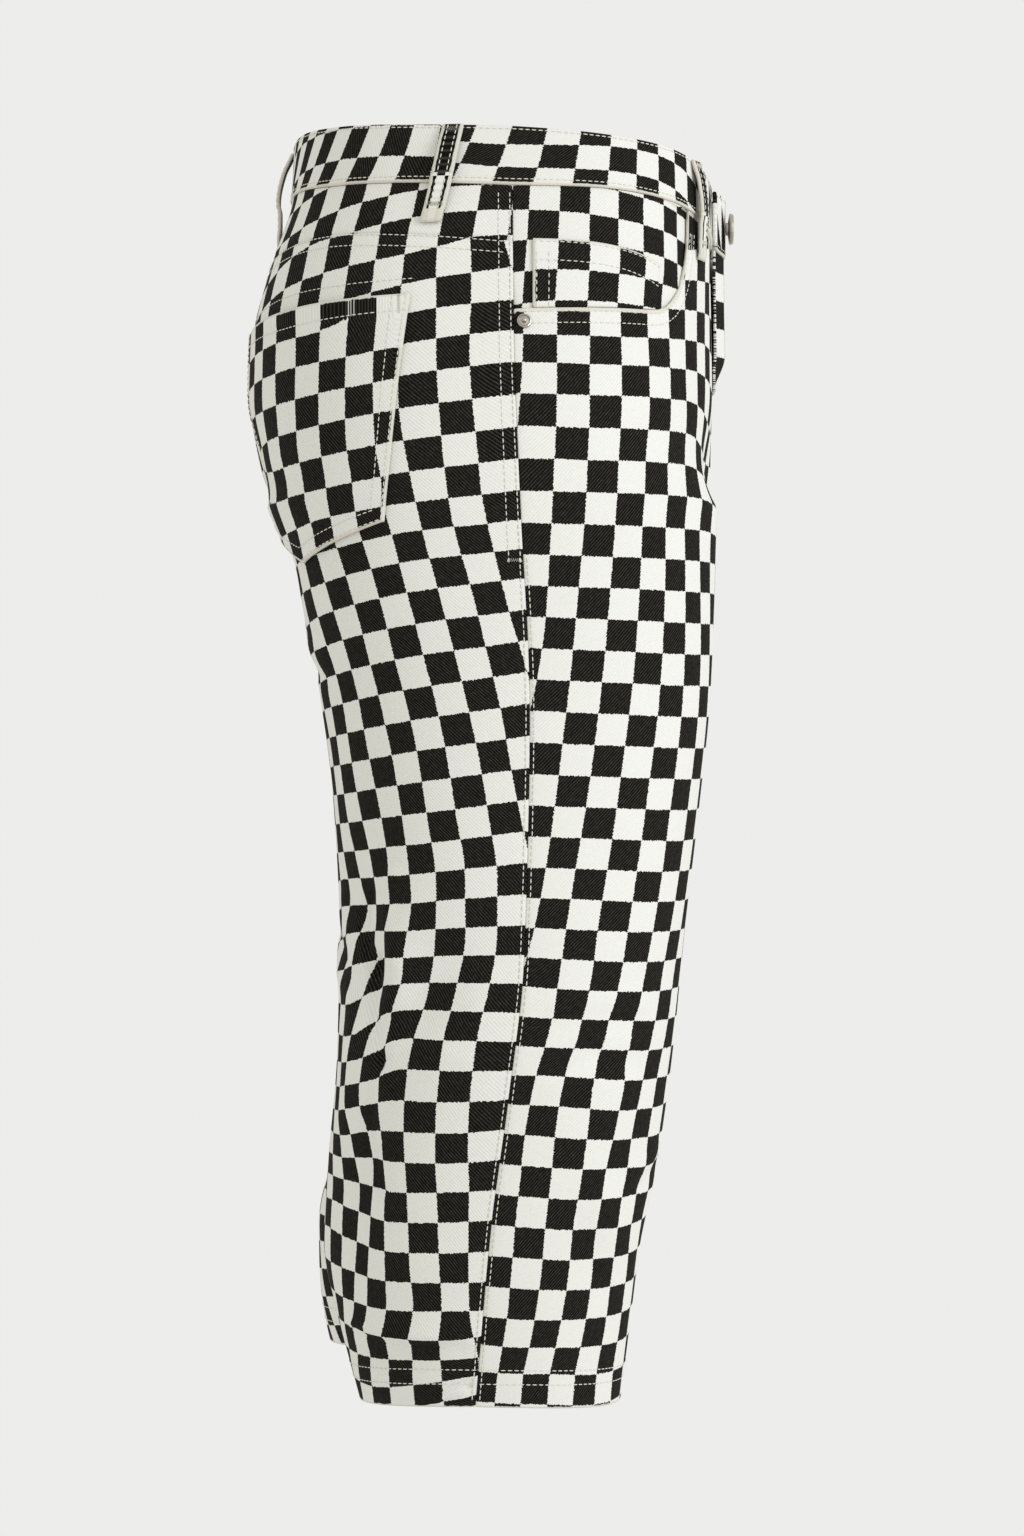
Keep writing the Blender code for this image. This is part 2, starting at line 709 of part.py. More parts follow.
# ---------------------------------------------------------------- turned hems
def hem(side, name):
    """The cloth turned up inside the leg's lower edge, a ring."""
    outer, inner = [], []
    for share in (0, 0.5, 1):
        outer_row, inner_row = [], []
        for step in range(2 * HEM_STEPS):
            panel = "front" if step < HEM_STEPS else "back"
            way = step / HEM_STEPS if step < HEM_STEPS else 2 - step / HEM_STEPS
            height = hem_height(way) + HEM_TURN * (1 - share)
            across = across_at(panel, way, height)
            outer_row.append(cloth_point(side, panel, across, height, -CLOTH - TUCK))
            inner_row.append(cloth_point(side, panel, across, height, -2 * CLOTH - TUCK))
        outer.append(outer_row)
        inner.append(inner_row)
    wall_solid(name, outer, inner, ring=True)


# ---------------------------------------------------------------- metal trims
def turned(name, centre, normal, radius, profile):
    """A round piece from a profile of (radius, height) shares, closed by a flat foot."""
    normal = np.asarray(normal) / np.linalg.norm(normal)
    side_way = np.cross(normal, (0.0, 0.0, 1.0))
    side_way /= np.linalg.norm(side_way)
    up_way = np.cross(side_way, normal)
    data = bmesh.new()
    rings = []
    for share, height in profile:
        if share == 0:
            rings.append([data.verts.new(centre + normal * height * radius)])
            continue
        ring = []
        for k in range(TURN_STEPS):
            angle = 2 * math.pi * k / TURN_STEPS
            spoke = side_way * math.cos(angle) + up_way * math.sin(angle)
            ring.append(data.verts.new(centre + spoke * share * radius + normal * height * radius))
        rings.append(ring)
    for first, second in zip(rings, rings[1:]):
        for k in range(TURN_STEPS):
            n = (k + 1) % TURN_STEPS
            if len(first) == 1:
                data.faces.new((first[0], second[k], second[n]))
            else:
                data.faces.new((first[k], first[n], second[n], second[k]))
    data.faces.new(rings[-1])
    return add_object(name, data, NICKEL, NICKEL_ROUGHNESS, 1.0)


def rivet(side, name):
    normal = normal_at(side, "front", RIVET_ACROSS, RIVET_HEIGHT)
    middle = cloth_point(side, "front", RIVET_ACROSS, RIVET_HEIGHT, LIFT)
    turned(name, middle, normal, RIVET_RADIUS, RIVET_PROFILE)


def waist_button(name):
    height = (edge(1.0, "band_top_front") + edge(1.0, "band_low_front")) / 2
    out = BAND_PROUD + lap_out(BUTTON_X) + SEAM_GAP
    middle = free_point(-1, "front", reach_of("front", height), height, out)
    middle[0] = BUTTON_X
    turned(name, middle, (0.0, -1.0, 0.0), BUTTON_RADIUS, BUTTON_PROFILE)


# ---------------------------------------------------------------- the garment
def clear_scene():
    for item in list(bpy.data.objects):
        bpy.data.objects.remove(item, do_unlink=True)


def build():
    clear_scene()
    for side, hand in ((-1, "right"), (1, "left")):
        front_panel(side, "front_" + hand)
        back_panel(side, "back_" + hand)
        yoke(side, "yoke_" + hand)
        pocket_facing(side, "pocket_facing_" + hand)
        back_pocket(side, "back_pocket_" + hand)
        hem(side, "hem_" + hand)
        rivet(side, "rivet_" + hand)
        for panel, (head, foot) in LOOP_WAYS.items():
            belt_loop(f"belt_loop_{panel}_{hand}", side, panel, head, foot)
    coin_pocket(-1, "coin_pocket")
    waistband("waistband")
    fly_overlap("fly_overlap")
    belt_loop("belt_loop_centre_back", -1, "back", 1.0, 1.0, stand=CENTRE_LOOP_STAND)
    waist_button("waist_button")


build()
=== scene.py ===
# %% [markdown]
# # Checked barrel jeans
# These jeans stand as they do when worn: hollow, curved out at the knees, one leg a little behind the other.
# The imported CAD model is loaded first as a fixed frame. Everything made below is dressed onto it, in metres.

import math

import bmesh
import bpy
import numpy as np
from mathutils import Matrix, Vector


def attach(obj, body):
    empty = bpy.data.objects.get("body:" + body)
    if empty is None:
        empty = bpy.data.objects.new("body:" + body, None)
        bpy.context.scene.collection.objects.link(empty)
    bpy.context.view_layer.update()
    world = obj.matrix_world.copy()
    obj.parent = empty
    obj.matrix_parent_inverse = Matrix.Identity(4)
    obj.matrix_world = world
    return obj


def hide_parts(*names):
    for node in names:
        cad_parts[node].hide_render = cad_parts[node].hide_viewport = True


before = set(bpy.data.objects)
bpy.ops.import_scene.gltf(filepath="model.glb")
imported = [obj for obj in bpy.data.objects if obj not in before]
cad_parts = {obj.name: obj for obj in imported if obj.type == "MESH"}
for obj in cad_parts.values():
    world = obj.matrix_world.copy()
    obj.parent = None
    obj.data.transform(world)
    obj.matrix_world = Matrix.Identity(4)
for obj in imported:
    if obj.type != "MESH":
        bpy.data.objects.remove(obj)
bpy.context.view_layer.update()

# %% [markdown]
# ## The form of the worn cloth
# A pair of jeans is flat panels sewn into tubes, so each place on the cloth has two numbers: its height, and its
# distance round the leg or hip from the outseam. A draped simulation could find the form, but the wearer's shape is
# known here, so level sections are worked out from a few sizes and the cloth is laid on them. The CAD solids come
# from the same sizes, so the fine cloth made here lies on them exactly.

# %% Sizes of the garment
# Walls and clearances
CLOTH = 0.0015  # thickness of the cloth
BAND_WALL = 0.0024  # thickness of the waistband
SEAM_GAP = 0.0003  # between two pieces that are sewn together
LIFT = 0.0005  # between a piece and the one it lies on
TUCK = 0.0009  # between a piece and the one behind it
# Heights, with 0 at the waist
CROTCH = -0.240
HEM_SIDE = -0.641
HEM_FRONT_BACK = -0.647
HEM_TURN = 0.016  # how far the hem is turned up
STRIDE_TOP = -0.490  # the left leg stands further back from here down,
STRIDE = 0.025  # by this much at its hem
# From one tube round the hips to one round each leg
RISE_CURVE = 0.090  # height over which the crotch seam curves up to the body's front and back
BLEND_BELOW = 0.060
BLEND_ABOVE = 0.115
SEAM_SHARE = 0.74  # share of the half turn at which the neighbourhood of the crotch seam begins
BODY_SQUARE = 2.5  # how square the hips are: 2 is an ellipse
LEG_SQUARE = 2.15

# Half width of the hips, or outer and inner side of a leg, then the front and the back
OUTLINE_COLUMNS = ("height", "half_width", "inner", "front", "back")
OUTLINE = (
    (0.012, 0.132, 0.000, -0.1105, 0.111),
    (-0.021, 0.140, 0.000, -0.1115, 0.113),
    (-0.058, 0.151, 0.000, -0.1115, 0.1245),
    (-0.095, 0.162, 0.000, -0.1120, 0.1335),
    (-0.132, 0.171, 0.000, -0.1125, 0.1350),
    (-0.162, 0.177, 0.000, -0.1122, 0.1305),
    (-0.190, 0.182, 0.000, -0.1112, 0.1190),
    (-0.219, 0.186, 0.001, -0.1100, 0.1070),
    (-0.240, 0.190, 0.0015, -0.1092, 0.1030),
    (-0.290, 0.198, 0.005, -0.1065, 0.0930),
    (-0.345, 0.206, 0.009, -0.1005, 0.0860),
    (-0.407, 0.212, 0.013, -0.0930, 0.0830),
    (-0.467, 0.212, 0.015, -0.0870, 0.0840),
    (-0.528, 0.203, 0.020, -0.0785, 0.0890),
    (-0.567, 0.193, 0.024, -0.0705, 0.0910),
    (-0.600, 0.182, 0.027, -0.0665, 0.0850),
    (-0.650, 0.165, 0.030, -0.0605, 0.0725),
)
OUTSEAM_COLUMNS = ("height", "y")  # where the outseam runs down the side
OUTSEAM = (
    (0.012, -0.005),
    (-0.108, -0.006),
    (-0.190, -0.009),
    (-0.296, -0.0137),
    (-0.415, -0.011),
    (-0.487, -0.003),
    (-0.547, 0.005),
    (-0.650, 0.014),
)
# Heights of the waistband's edges and the yoke's seam, by the share of the way from the outseam to the middle
EDGE_COLUMNS = ("way", "band_top_front", "band_top_back", "band_low_front", "band_low_back", "yoke")
EDGES = (
    (0.00, 0.0000, 0.0000, -0.0310, -0.0310, -0.0600),
    (0.25, -0.0025, 0.0015, -0.0310, -0.0290, -0.0560),
    (0.50, -0.0055, 0.0050, -0.0335, -0.0262, -0.0530),
    (0.75, -0.0120, 0.0080, -0.0405, -0.0225, -0.0560),
    (1.00, -0.0165, 0.0083, -0.0490, -0.0215, -0.0620),
)
# Broad folds that the CAD has too: millimetres, with height in metres and lean in degrees (0 down, 90 across)
FOLD_COLUMNS = ("side", "panel", "across", "height", "length", "width", "lean", "out")
FOLDS = (
    (-1, "back", 66, -0.428, 60, 11, 6, 4.0),
    (-1, "back", 84, -0.418, 42, 10, -14, -3.6),
    (-1, "back", 46, -0.436, 48, 12, 30, -2.2),
    (-1, "back", 74, -0.530, 70, 12, -4, -3.0),
    (-1, "back", 40, -0.603, 60, 9, 88, 2.6),
    (-1, "back", 44, -0.617, 60, 7, 88, -1.8),
    (-1, "front", 62, -0.545, 50, 12, 34, 2.4),
    (-1, "front", 78, -0.470, 45, 16, 62, -1.8),
    (1, "back", 60, -0.420, 55, 12, -4, 3.6),
    (1, "back", 80, -0.432, 46, 11, 16, -3.4),
    (1, "back", 70, -0.535, 64, 13, 5, -2.6),
    (1, "back", 50, -0.606, 52, 9, 92, 2.2),
    (1, "front", 70, -0.535, 54, 13, -30, 2.2),
    (1, "front", 58, -0.462, 44, 16, 58, -1.8),
)
FOLD_ENDS = 1.7  # how much sooner a fold fades at its ends than a bell curve of its length


# %% Reading a short table as a smooth curve
def column(table, names, name):
    return [row[names.index(name)] for row in table]


def read_column(table, names, name, at):
    """One column of a table as a smooth curve over its first column."""
    return smooth_read(at, column(table, names, names[0]), column(table, names, name))


def smooth_read(at, keys, values):
    """A curve through (keys, values) that never overshoots them, at one number or an array."""
    order = np.argsort(keys)
    x = np.asarray(keys, float)[order]
    y = np.asarray(values, float)[order]
    steps = np.diff(x)
    slopes = np.diff(y) / steps
    bends = np.zeros(len(x))
    for k in range(1, len(x) - 1):
        if slopes[k - 1] * slopes[k] > 0:
            bends[k] = 2 * slopes[k - 1] * slopes[k] / (slopes[k - 1] + slopes[k])
    bends[0], bends[-1] = slopes[0], slopes[-1]
    at = np.clip(at, x[0], x[-1])
    k = np.clip(np.searchsorted(x, at) - 1, 0, len(x) - 2)
    t = (at - x[k]) / steps[k]
    return (
        y[k] * (1 + 2 * t) * (1 - t) ** 2
        + y[k + 1] * t * t * (3 - 2 * t)
        + steps[k] * (bends[k] * t * (1 - t) ** 2 - bends[k + 1] * t * t * (1 - t))
    )


def outline(height, name):
    return read_column(OUTLINE, OUTLINE_COLUMNS, name, height)


def edge(way, name):
    return read_column(EDGES, EDGE_COLUMNS, name, way)


def outseam(height):
    return read_column(OUTSEAM, OUTSEAM_COLUMNS, "y", height)


def ease(value):
    value = np.clip(value, 0.0, 1.0)
    return value * value * (3 - 2 * value)


# %% Level sections, a millimetre apart
ROW_STEP = 0.001
HEIGHTS = np.arange(0.016, -0.6561, -ROW_STEP)
TURNS = np.linspace(-1, 1, 481)
ACROSS_STEP = 0.001
ACROSS = np.arange(-0.34, 0.3401, ACROSS_STEP)  # distances from the outseam, the back's below 0
TINY = 1e-12  # keeps a division from meeting zero


def squircle(angles, power):
    reach = (np.abs(np.cos(angles)) ** power + np.abs(np.sin(angles)) ** power) ** (-1 / power)
    return reach * np.cos(angles), reach * np.sin(angles)


def sections():
    """For each height, from the inner end round the back, the outseam and the front: x, y and distance from the
    outseam, with the outseam's own turn, and the turn at each whole millimetre across."""
    wide, inner = outline(HEIGHTS, "half_width")[:, None], outline(HEIGHTS, "inner")[:, None]
    front, back = outline(HEIGHTS, "front")[:, None], outline(HEIGHTS, "back")[:, None]
    middle, deep = (front + back) / 2, (back - front) / 2
    turn = np.clip((HEIGHTS - CROTCH) / RISE_CURVE, 0.0, 1.0)
    at_seam = np.sqrt(1 - (1 - turn) ** 2)[:, None]
    off_seam = ease((HEIGHTS - CROTCH + BLEND_BELOW) / (BLEND_BELOW + BLEND_ABOVE))[:, None]
    near = ease((np.abs(TURNS) - SEAM_SHARE) / (1 - SEAM_SHARE))[None, :]
    body = near * at_seam + (1 - near) * off_seam
    leg_x, leg_y = squircle(TURNS * math.pi, LEG_SQUARE)
    body_x, body_y = squircle(TURNS * math.pi / 2, BODY_SQUARE)
    x = (1 - body) * ((wide + inner) / 2 + (wide - inner) / 2 * leg_x) + body * wide * body_x
    y = (1 - body) * leg_y + body * body_y
    y = middle - deep * np.where(y > 0, y / y.max(1, keepdims=True), y / -y.min(1, keepdims=True))
    x = np.maximum(x, SEAM_GAP / 2)
    steps = np.hypot(np.diff(x, axis=1), np.diff(y, axis=1))
    along = np.concatenate([np.zeros((len(HEIGHTS), 1)), np.cumsum(steps, axis=1)], axis=1)
    near_seam = slice(len(TURNS) // 4, 3 * len(TURNS) // 4)
    seam_turn = np.zeros(len(HEIGHTS))
    turn_at_across = np.zeros((len(HEIGHTS), len(ACROSS)))
    seam_y = outseam(HEIGHTS)
    for i in range(len(HEIGHTS)):
        along[i] -= np.interp(-seam_y[i], -y[i, near_seam], along[i, near_seam])
        seam_turn[i] = np.interp(0, along[i], TURNS)
        turn_at_across[i] = np.interp(ACROSS, along[i], TURNS)
    return x, y, along, seam_turn, turn_at_across


SECTION_X, SECTION_Y, ALONG, SEAM_TURN, TURN_AT_ACROSS = sections()


def side_tables(side):
    """Points and outward normals of one half, right (-1) or left (1)."""
    y = SECTION_Y.copy()
    if side > 0:
        y += STRIDE * ease((STRIDE_TOP - HEIGHTS) / (STRIDE_TOP - HEM_FRONT_BACK))[:, None]
    z = np.repeat(HEIGHTS[:, None], len(TURNS), axis=1)
    points = np.stack([side * SECTION_X, y, z], axis=2)
    round_way = np.gradient(points, axis=1)
    down_way = np.gradient(points, axis=0)
    normals = np.cross(round_way, down_way) * side
    normals /= np.maximum(np.linalg.norm(normals, axis=2, keepdims=True), TINY)
    return points, normals


FORM = {side: side_tables(side) for side in (-1, 1)}


def read_table(table, height, at, keys):
    """Bilinear reading of a table by height and by a second, evenly spaced key."""
    i = np.clip((HEIGHTS[0] - np.asarray(height, float)) / ROW_STEP, 0, len(HEIGHTS) - 1.001)
    j = np.clip((np.asarray(at, float) - keys[0]) / (keys[1] - keys[0]), 0, len(keys) - 1.001)
    i0, j0 = i.astype(int), j.astype(int)
    fi, fj = i - i0, j - j0
    if table.ndim == 3:
        fi, fj = fi[..., None], fj[..., None]
    low = table[i0, j0] * (1 - fj) + table[i0, j0 + 1] * fj
    high = table[i0 + 1, j0] * (1 - fj) + table[i0 + 1, j0 + 1] * fj
    return low * (1 - fi) + high * fi


SIGN = {"front": 1, "back": -1}  # the front's places count up from the outseam, the back's down


def seam_turn(height):
    return np.interp(-np.asarray(height, float), -HEIGHTS, SEAM_TURN)


def across_at(panel, way, height):
    """Distance from the outseam at a share of the turn from the outseam to the panel's inner end."""
    seam = seam_turn(height)
    turn = seam + way * (1 - seam) if panel == "front" else seam - way * (1 + seam)
    return np.abs(read_table(ALONG, height, turn, TURNS))


def way_at(panel, across, height):
    seam = seam_turn(height)
    turn = read_table(TURN_AT_ACROSS, height, SIGN[panel] * np.asarray(across, float), ACROSS)
    return (turn - seam) / (1 - seam) if panel == "front" else (seam - turn) / (1 + seam)


def reach_of(panel, height):
    return across_at(panel, 1.0, height)


def fold_out(side, panel, across, height):
    """How far the broad folds push the cloth out at places of a panel."""
    out = 0.0 * np.asarray(across)
    for row in FOLDS:
        fold = dict(zip(FOLD_COLUMNS, row))
        if fold["side"] != side or fold["panel"] != panel:
            continue
        right = 1000 * across - fold["across"]
        down = 1000 * (fold["height"] - height)
        lean = math.radians(fold["lean"])
        along = down * math.cos(lean) + right * math.sin(lean)
        beside = right * math.cos(lean) - down * math.sin(lean)
        out = out + fold["out"] * np.exp(-((along / fold["length"] * FOLD_ENDS) ** 2) - (beside / fold["width"]) ** 2)
    return 0.001 * out


def bare(side, panel, across, height):
    """Points and outward normals of the smooth form."""
    turn = read_table(TURN_AT_ACROSS, height, SIGN[panel] * np.asarray(across, float), ACROSS)
    points, normals = FORM[side]
    return read_table(points, height, turn, TURNS), read_table(normals, height, turn, TURNS)


HIP_ROW = int(round((HEIGHTS[0] + 0.134) / ROW_STEP))
hip_round = 2 * (ALONG[HIP_ROW, -1] - ALONG[HIP_ROW, 0])
print("sections", SECTION_X.shape, "hip round", round(hip_round, 3), "m")

# %% [markdown]
# ## Creases
# The cloth hangs from the seat and catches behind the knee, where it folds on itself. Each crease is a line over the
# cloth that pulls the surface in as a soft trough or lifts it as a ridge. A simulation would put its
# own creases in its own places; these stand where the real ones do, and the left leg gets its own uneven set.

# %% Crease lines
# (leg, panel, depth in mm with a trough negative, width in mm, places (across, height) along it in mm)
CREASES = (
    ("right", "back", -3.4, 3.6, ((91, -386), (96, -397), (97, -405), (93, -414), (86, -422))),
    ("right", "back", 2.0, 6.0, ((71, -379), (76, -391), (73, -403), (67, -418))),
    ("right", "back", 1.6, 7.0, ((121, -390), (112, -405), (108, -420))),
    ("right", "back", -2.6, 4.0, ((86, -422), (84, -431), (82, -444), (76, -458), (72, -469))),
    ("right", "back", -2.0, 4.6, ((74, -469), (78, -483), (80, -499), (73, -515), (62, -532))),
    ("right", "back", 1.6, 9.0, ((105, -440), (103, -469), (103, -495))),
    ("right", "back", 1.2, 6.0, ((72, -442), (57, -432), (42, -427), (21, -424))),
    ("right", "back", 1.0, 6.0, ((73, -475), (47, -467), (21, -464))),
    ("right", "back", -1.2, 6.0, ((75, -452), (55, -447), (30, -444))),
    ("right", "back", 1.5, 2.6, ((78, -602), (57, -604), (35, -605), (20, -605), (9, -604))),
    ("right", "back", -1.4, 2.6, ((74, -606), (58, -609), (36, -610.5), (20, -610), (10, -609))),
    ("right", "back", -1.2, 1.6, ((19, -634), (11, -630), (5, -626))),
    ("right", "back", -1.2, 1.4, ((17, -639), (9, -634), (3.5, -630))),
    ("right", "back", 1.6, 3.4, ((18, -636), (8, -633))),
    ("right", "front", -1.2, 6.0, ((123, -525), (99, -530), (85, -535))),
    ("right", "front", 1.0, 6.0, ((120, -515), (97, -520), (82, -526))),
    ("right", "front", 0.8, 7.0, ((20, -441), (41, -437), (68, -441))),
    ("right", "front", -0.7, 6.0, ((18, -450), (41, -446), (70, -450))),
    ("right", "front", 0.8, 7.0, ((18, -459), (40, -455), (74, -460))),
    ("right", "front", -0.7, 6.0, ((18, -468), (40, -465), (72, -470))),
    ("right", "front", 0.7, 7.0, ((19, -478), (40, -475), (69, -481))),
    ("left", "back", -3.0, 4.2, ((84, -392), (90, -404), (88, -416), (80, -426))),
    ("left", "back", 1.8, 7.0, ((66, -384), (70, -400), (66, -420))),
    ("left", "back", -2.2, 4.6, ((80, -426), (78, -442), (70, -462), (72, -490))),
    ("left", "back", 1.3, 8.0, ((104, -430), (100, -470), (98, -500))),
    ("left", "back", 1.1, 6.0, ((70, -446), (50, -438), (24, -436))),
    ("left", "back", 1.4, 3.0, ((90, -598), (60, -601), (30, -602), (12, -600))),
    ("left", "back", -1.2, 3.0, ((88, -603), (60, -606.5), (30, -608), (12, -606))),
    ("left", "front", -1.1, 6.0, ((118, -505), (96, -512), (80, -520))),
    ("left", "front", 0.9, 7.0, ((22, -452), (48, -446), (76, -452))),
    ("left", "front", -0.7, 6.0, ((22, -462), (48, -457), (74, -462))),
    ("left", "front", 0.7, 7.0, ((20, -473), (46, -468), (72, -474))),
    ("right", "back", 1.4, 7.0, ((190, -250), (160, -262), (125, -268))),
    ("right", "back", -1.4, 5.0, ((200, -262), (165, -273), (130, -280))),
    ("left", "back", 1.4, 7.0, ((195, -256), (160, -270), (120, -275))),
    ("left", "back", -1.4, 5.0, ((200, -268), (165, -282), (125, -287))),
    ("right", "back", -1.6, 5.0, ((160, -400), (140, -412), (118, -418))),
    ("left", "back", -1.6, 5.0, ((162, -394), (140, -407), (112, -414))),
    ("right", "back", 1.3, 6.0, ((165, -415), (140, -428), (115, -436))),
    ("left", "back", 1.3, 6.0, ((165, -409), (140, -422), (112, -432))),
)


def crease_out(side, panel, across, height):
    """How far a leg's creases lift the cloth at places of a panel."""
    hand = "right" if side < 0 else "left"
    total = np.zeros(np.broadcast(across, height).shape)
    for leg, on, depth, width, line in CREASES:
        if (leg, on) != (hand, panel):
            continue
        nearest = np.full(total.shape, np.inf)
        for (a0, h0), (a1, h1) in zip(line[:-1], line[1:]):
            run, drop = a1 - a0, h1 - h0
            beside, below = 1000 * across - a0, 1000 * height - h0
            along = np.clip((beside * run + below * drop) / (run**2 + drop**2), 0, 1)
            nearest = np.minimum(nearest, np.hypot(beside - along * run, below - along * drop))
        total += 0.001 * depth * np.exp(-((nearest / width) ** 2))
    return total


# %% [markdown]
# ## Helpers for thin cloth
# Real cloth is a sheet with a face, a reverse and a narrow edge. A Solidify modifier could thicken a flat grid, but
# its rims come out sharp and their UVs are stretched, so the sheet is built here as three layers of points: the face,
# the reverse, and between them a rounded edge. The UV map is the flat cloth itself, in metres, so the checks keep
# their real size however the cloth bends.

# %% Thin cloth from a grid of points
CHECK = 0.016  # side of one check
RIM_BULGE = 0.3  # how far a cut edge rounds out, as a share of the wall


def outward(points, toward):
    """Unit normals of a grid of points, turned to the side that toward points to."""
    normals = np.cross(np.gradient(points, axis=1), np.gradient(points, axis=0))
    normals /= np.maximum(np.linalg.norm(normals, axis=2, keepdims=True), TINY)
    return normals if np.sum(normals * toward) > 0 else -normals


def rim(rows, columns, ring):
    """Index pairs (edge point, its inner neighbour) round a grid: one closed loop, or two for a ring."""
    top = [((0, j), (1, j)) for j in range(columns)]
    low = [((rows - 1, j), (rows - 2, j)) for j in range(columns)]
    if ring:
        return [top, low]
    last = columns - 1
    right = [((i, last), (i, last - 1)) for i in range(1, rows - 1)]
    left = [((i, 0), (i, 1)) for i in range(1, rows - 1)]
    return [top + right + low[::-1] + left[::-1]]


def mesh_object(name, points, faces, uvs):
    mesh = bpy.data.meshes.new(name)
    mesh.from_pydata(points, [], faces)
    layer = mesh.uv_layers.new(name="cloth")
    layer.data.foreach_set("uv", np.asarray(uvs, np.float32).ravel())
    mesh.shade_smooth()
    mesh.validate()
    made = bpy.data.objects.new(name, mesh)
    bpy.context.scene.collection.objects.link(made)
    return made


def add_values(made, name, values):
    layer = made.data.attributes.new(name, "FLOAT", "POINT")
    layer.data.foreach_set("value", np.asarray(values, np.float32).ravel())


def thin_cloth(name, face, toward, wall, uv, fold=None, ring=False):
    """A sheet with rounded edges. face is (rows, columns, 3). uv is (rows, columns, 2) in checks, with one more
    column on a ring. fold is 1 on a folded edge and 0 elsewhere: bare cotton and a painted highlight on the rounded
    edge."""
    rows, columns = face.shape[:2]
    normals = outward(face, toward)
    reverse = face - normals * wall
    index = np.arange(rows * columns).reshape(rows, columns)
    j = np.arange(columns if ring else columns - 1)
    k = (j + 1) % columns
    i = np.arange(rows - 1)[:, None]
    quads = np.stack([index[i, j], index[i, k], index[i + 1, k], index[i + 1, j]], 2).reshape(-1, 4)
    quad_uv = np.stack([uv[i, j], uv[i, j + 1], uv[i + 1, j + 1], uv[i + 1, j]], 2).reshape(-1, 4, 2)
    flip = np.sum(np.cross(face[0, 1] - face[0, 0], face[1, 0] - face[0, 0]) * normals[0, 0]) < 0
    count = rows * columns
    points = [face.reshape(-1, 3), reverse.reshape(-1, 3)]
    faces = [quads, quads[:, ::-1] + count]
    corner_uvs = [quad_uv, quad_uv[:, ::-1]]
    start = 2 * count
    parents = [np.arange(count), np.arange(count)]
    for loop in rim(rows, columns, ring):
        at = np.array([index[a] for a, _ in loop])
        inside = np.array([index[b] for _, b in loop])
        out_way = face.reshape(-1, 3)[at] - face.reshape(-1, 3)[inside]
        out_way /= np.maximum(np.linalg.norm(out_way, axis=1, keepdims=True), TINY)
        middle_line = (face.reshape(-1, 3)[at] + reverse.reshape(-1, 3)[at]) / 2
        points.append(middle_line + out_way * wall * RIM_BULGE)
        parents.append(at)
        n = len(at)
        nxt = (np.arange(n) + 1) % n
        middle = start + np.arange(n)
        start += n
        uv_flat = uv[:, :columns].reshape(-1, 2)
        edge_uv = np.stack([uv_flat[at[nxt]], uv_flat[at], uv_flat[at], uv_flat[at[nxt]]], 1)
        upper = np.stack([at[nxt], at, middle, middle[nxt]], 1)
        lower = np.stack([middle[nxt], middle, at + count, at[nxt] + count], 1)
        if ring and loop[0][0][0] != 0:
            upper, lower = upper[:, ::-1], lower[:, ::-1]
        faces += [upper, lower]
        corner_uvs += [edge_uv, edge_uv]
    all_faces = np.concatenate(faces)
    all_uvs = np.concatenate(corner_uvs)
    if flip:
        all_faces, all_uvs = all_faces[:, ::-1], all_uvs[:, ::-1]
    made = mesh_object(name, np.concatenate(points), all_faces.tolist(), all_uvs * CHECK)
    fold = np.zeros((rows, columns)) if fold is None else fold
    # The fold values make folded edges pale: bare cotton where the print is rubbed off, and a painted highlight
    add_values(made, "fold", np.asarray(fold, float).ravel()[np.concatenate(parents)])
    for _ in ("face", "reverse"):
        made.data.materials.append(None)
    slots = np.zeros(len(all_faces), np.int32)
    slots[len(quads) : 2 * len(quads)] = 1
    made.data.polygons.foreach_set("material_index", slots)
    return made


# %% [markdown]
# ## How the checks run on each piece
# Every piece is cut from one check cloth, so its checks start somewhere else and lean with its own grain. On the
# body the grain also turns, as the cloth is pulled to the knee and piles up behind it. The large pieces
# therefore have a chart: at places set out round the leg and down it, how many checks have gone by, across and down.
# Between the places a smooth curve is read, so the squares bend as real ones do instead of standing in straight
# lines. The small pieces lie nearly flat, so a few factors are enough for them.

